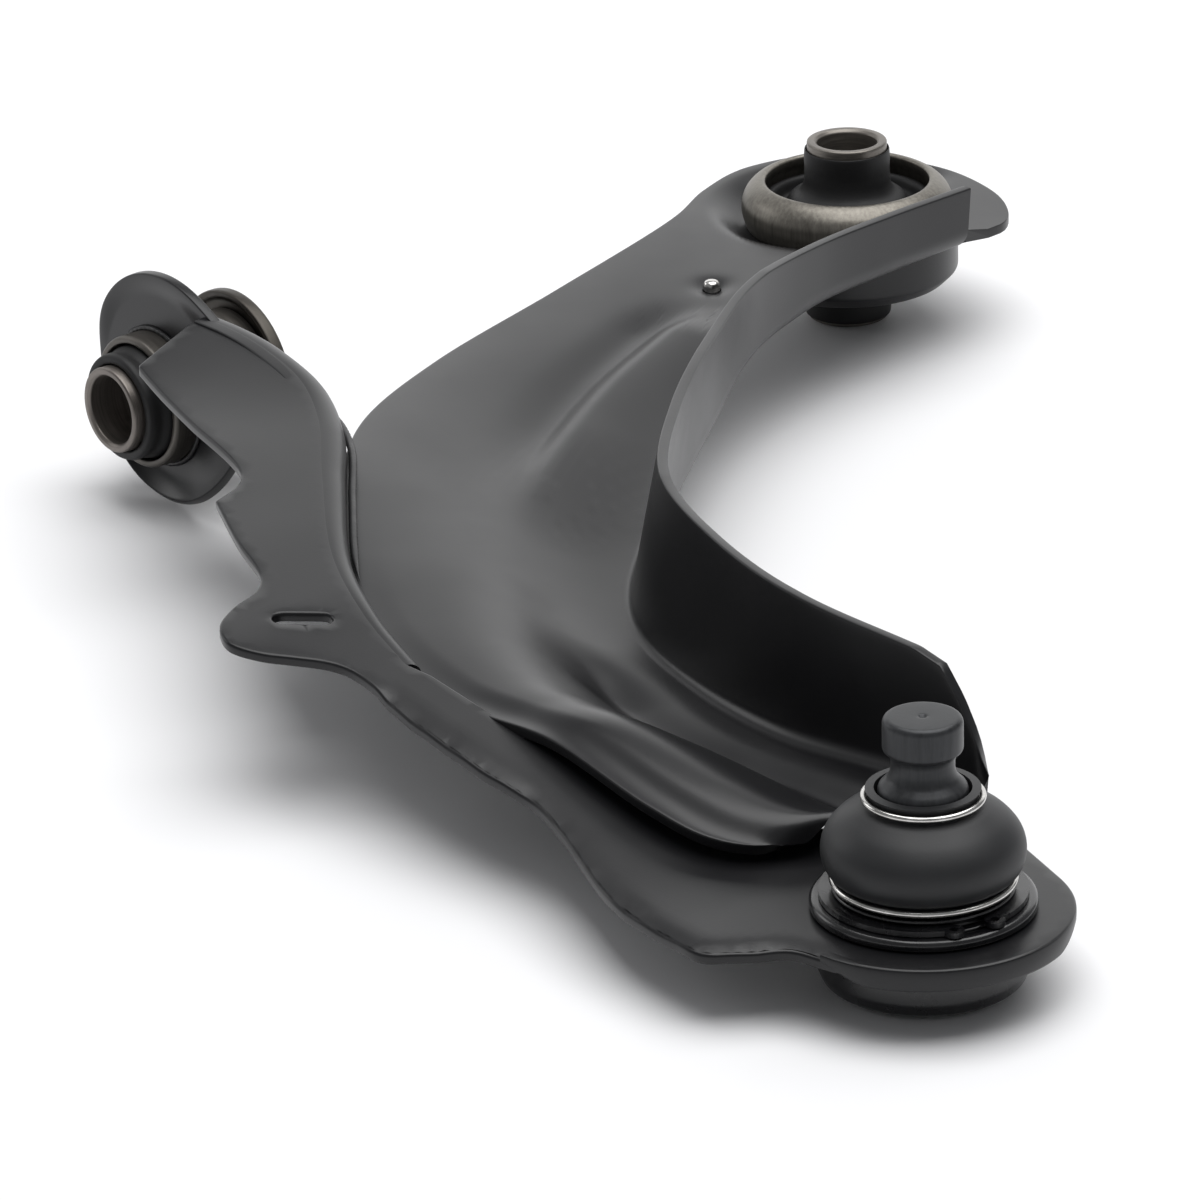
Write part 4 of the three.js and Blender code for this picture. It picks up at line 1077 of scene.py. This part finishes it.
def seam_bead():
    """The bead in the corner between the shoulder's foot and the main pressing: the shoulder's
    line moved in by its bend, half a sheet and the bead itself, thinned out at both ends."""
    part = slice(24, 150)
    line = smooth_curve(SHOULDER_LINE, 200)[part]
    s = np.linspace(0, 1, 200)[part]
    ahead = unit(np.gradient(line, axis=0))
    inward = np.stack([-ahead[:, 1], ahead[:, 0]], -1)
    reach = shoulder_radius(s) + SHEET / 2 + 1.7
    z = np.interp(line[:, 0], FOOT_X, FOOT_Z) + 1.3
    centre_line = np.column_stack([line + inward * reach[:, None], z])
    k = np.linspace(0, 1, len(z))
    size = 1.1 * ease(k * 12) * ease((1 - k) * 6) + 0.05
    return beaded(centre_line, np.column_stack([inward, 0 * z]), np.tile([0, 0, 1.0], (len(z), 1)),
                  size[:, None])


# %% [markdown]
# Two beads hold the tube in the yoke, one holds the collar and one the shoulder. The pip is a
# bright little peg beside the start of the rib. The clip is a flat spring ring with an eyelet at
# each end. It could be swept again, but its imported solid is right, so it only gets a finish.

# %% Small pieces
for name, level, radius, size, node in (
    ("tube_weld_front", -18.0, 20.3, 0.8, "weld_front_tube_front"),
    ("tube_weld_back", -13.2, 21.1, 1.2, "weld_front_tube_back"),
):
    piece(name, [ring_bead(FRONT, radius, level, size, "y")], WELD_COAT, "arm", [node])
weld_points, weld_faces = ring_bead(REAR, 34.9, 31.4, 1.2, "z")
weld_points[..., 2] -= bush_dish(weld_points[..., :2])
piece("collar_weld", [(weld_points, weld_faces)], WELD_COAT, "arm", ["weld_rear_collar"])
piece("shoulder_weld", [seam_bead()], WELD_COAT, "arm", ["weld_shoulder_seam"])
PIP_LINE = [(0, 30), (2.3, 30), (2.6, 30.4), (2.6, 35.0), (2.2, 36.1), (1.2, 36.6), (0, 36.7)]
turned("bright_pip", PIP_LINE, 0.5, PIP, BRIGHT_WIRE, "arm", "locating_pip",
       closed=False, segments=40)
recoat("circlip", DARK_STEEL)

# %% [markdown]
# ## Stage, light and camera
# The arm lies on a plain pale floor, a hair below its lowest point so that the two never share a
# plane. A curved backdrop could follow it, but a wide floor looks the same from here.

# %% Floor
FLOOR_HALF, FLOOR_DROP = 6, 0.0002
corners = [(-1, -1), (1, -1), (1, 1), (-1, 1)]
floor_mesh = bpy.data.meshes.new("floor")
floor_mesh.from_pydata([(FLOOR_HALF * x, FLOOR_HALF * y, 0) for x, y in corners], [], [(0, 1, 2, 3)])
floor = bpy.data.objects.new("floor", floor_mesh)
bpy.context.scene.collection.objects.link(floor)
floor.location.z = cad_low.z - FLOOR_DROP
floor_paint = bpy.data.materials.new("floor_paint")
floor_paint.use_nodes = True
floor_shader = floor_paint.node_tree.nodes["Principled BSDF"]
floor_shader.inputs["Base Color"].default_value = (0.86, 0.86, 0.87, 1)
floor_shader.inputs["Roughness"].default_value = 0.7
floor_mesh.materials.append(floor_paint)
print("floor height, mm:", round(floor.location.z * 1000, 2))

# %% [markdown]
# One broad soft light hangs above the arm and a second stands behind it. They put the grey sheen
# on its level faces and leave its walls dark. A weak one on the left keeps the shadows open. A
# sky image could light it too, but area lights have a size and a place that can be read here.

# %% Lights
world = bpy.data.worlds.new("studio")
bpy.context.scene.world = world
world.use_nodes = True
world.node_tree.nodes["Background"].inputs["Color"].default_value = (0.97, 0.98, 1.0, 1)
world.node_tree.nodes["Background"].inputs["Strength"].default_value = 0.25


def softbox(name, where, aim, size, power):
    """A rectangular area light at `where`, pointed at `aim`, both in metres."""
    data = bpy.data.lights.new(name, "AREA")
    data.shape, data.energy = "RECTANGLE", power
    data.size, data.size_y = size
    lamp = bpy.data.objects.new(name, data)
    bpy.context.scene.collection.objects.link(lamp)
    lamp.location = where
    lamp.rotation_mode = "QUATERNION"
    lamp.rotation_quaternion = (Vector(aim) - Vector(where)).to_track_quat("-Z", "Y")
    return lamp


for name, where, aim, size, watts in (
    ("overhead", (0.1, 0.25, 1.9), (0, 0, 0), (2.2, 2.2), 50),
    ("backdrop", (-1.6, 1.5, 0.75), (0, 0, 0.2), (3.6, 1.5), 17),
    ("left_fill", (-1.5, -0.7, 0.7), (0, 0, 0.05), (0.7, 0.7), 3),
):
    softbox(name, where, aim, size, watts)
    print(f"{name}: {watts} W")

# %% [markdown]
# The camera stands in front and to the right, a little above, and far enough away to flatten the
# perspective. A Track To constraint could aim it, but its small roll needs a turn of its own, so
# the aim is worked out once and the roll is added to it.

# %% Camera
SENSOR, LENS, FARTHEST = 36, 210.5, 50
camera_data = bpy.data.cameras.new("camera")
camera = bpy.data.objects.new("camera", camera_data)
bpy.context.scene.collection.objects.link(camera)
bpy.context.scene.camera = camera
CAMERA_PLACE = Vector(place([1568.6, -1114.6, 758.4]))
CAMERA_AIM = Vector(place([206.9, -12.3, 25.0]))
CAMERA_ROLL = -0.0249
camera.location = CAMERA_PLACE
camera.rotation_mode = "QUATERNION"
level_view = (CAMERA_AIM - CAMERA_PLACE).to_track_quat("-Z", "Y")
camera.rotation_quaternion = level_view @ Quaternion((0, 0, 1), CAMERA_ROLL)
camera_data.sensor_width = SENSOR
camera_data.lens = LENS
camera_data.clip_end = FARTHEST
bpy.context.scene.view_settings.view_transform = "Standard"
print("camera distance, m:", round((CAMERA_AIM - CAMERA_PLACE).length, 3))
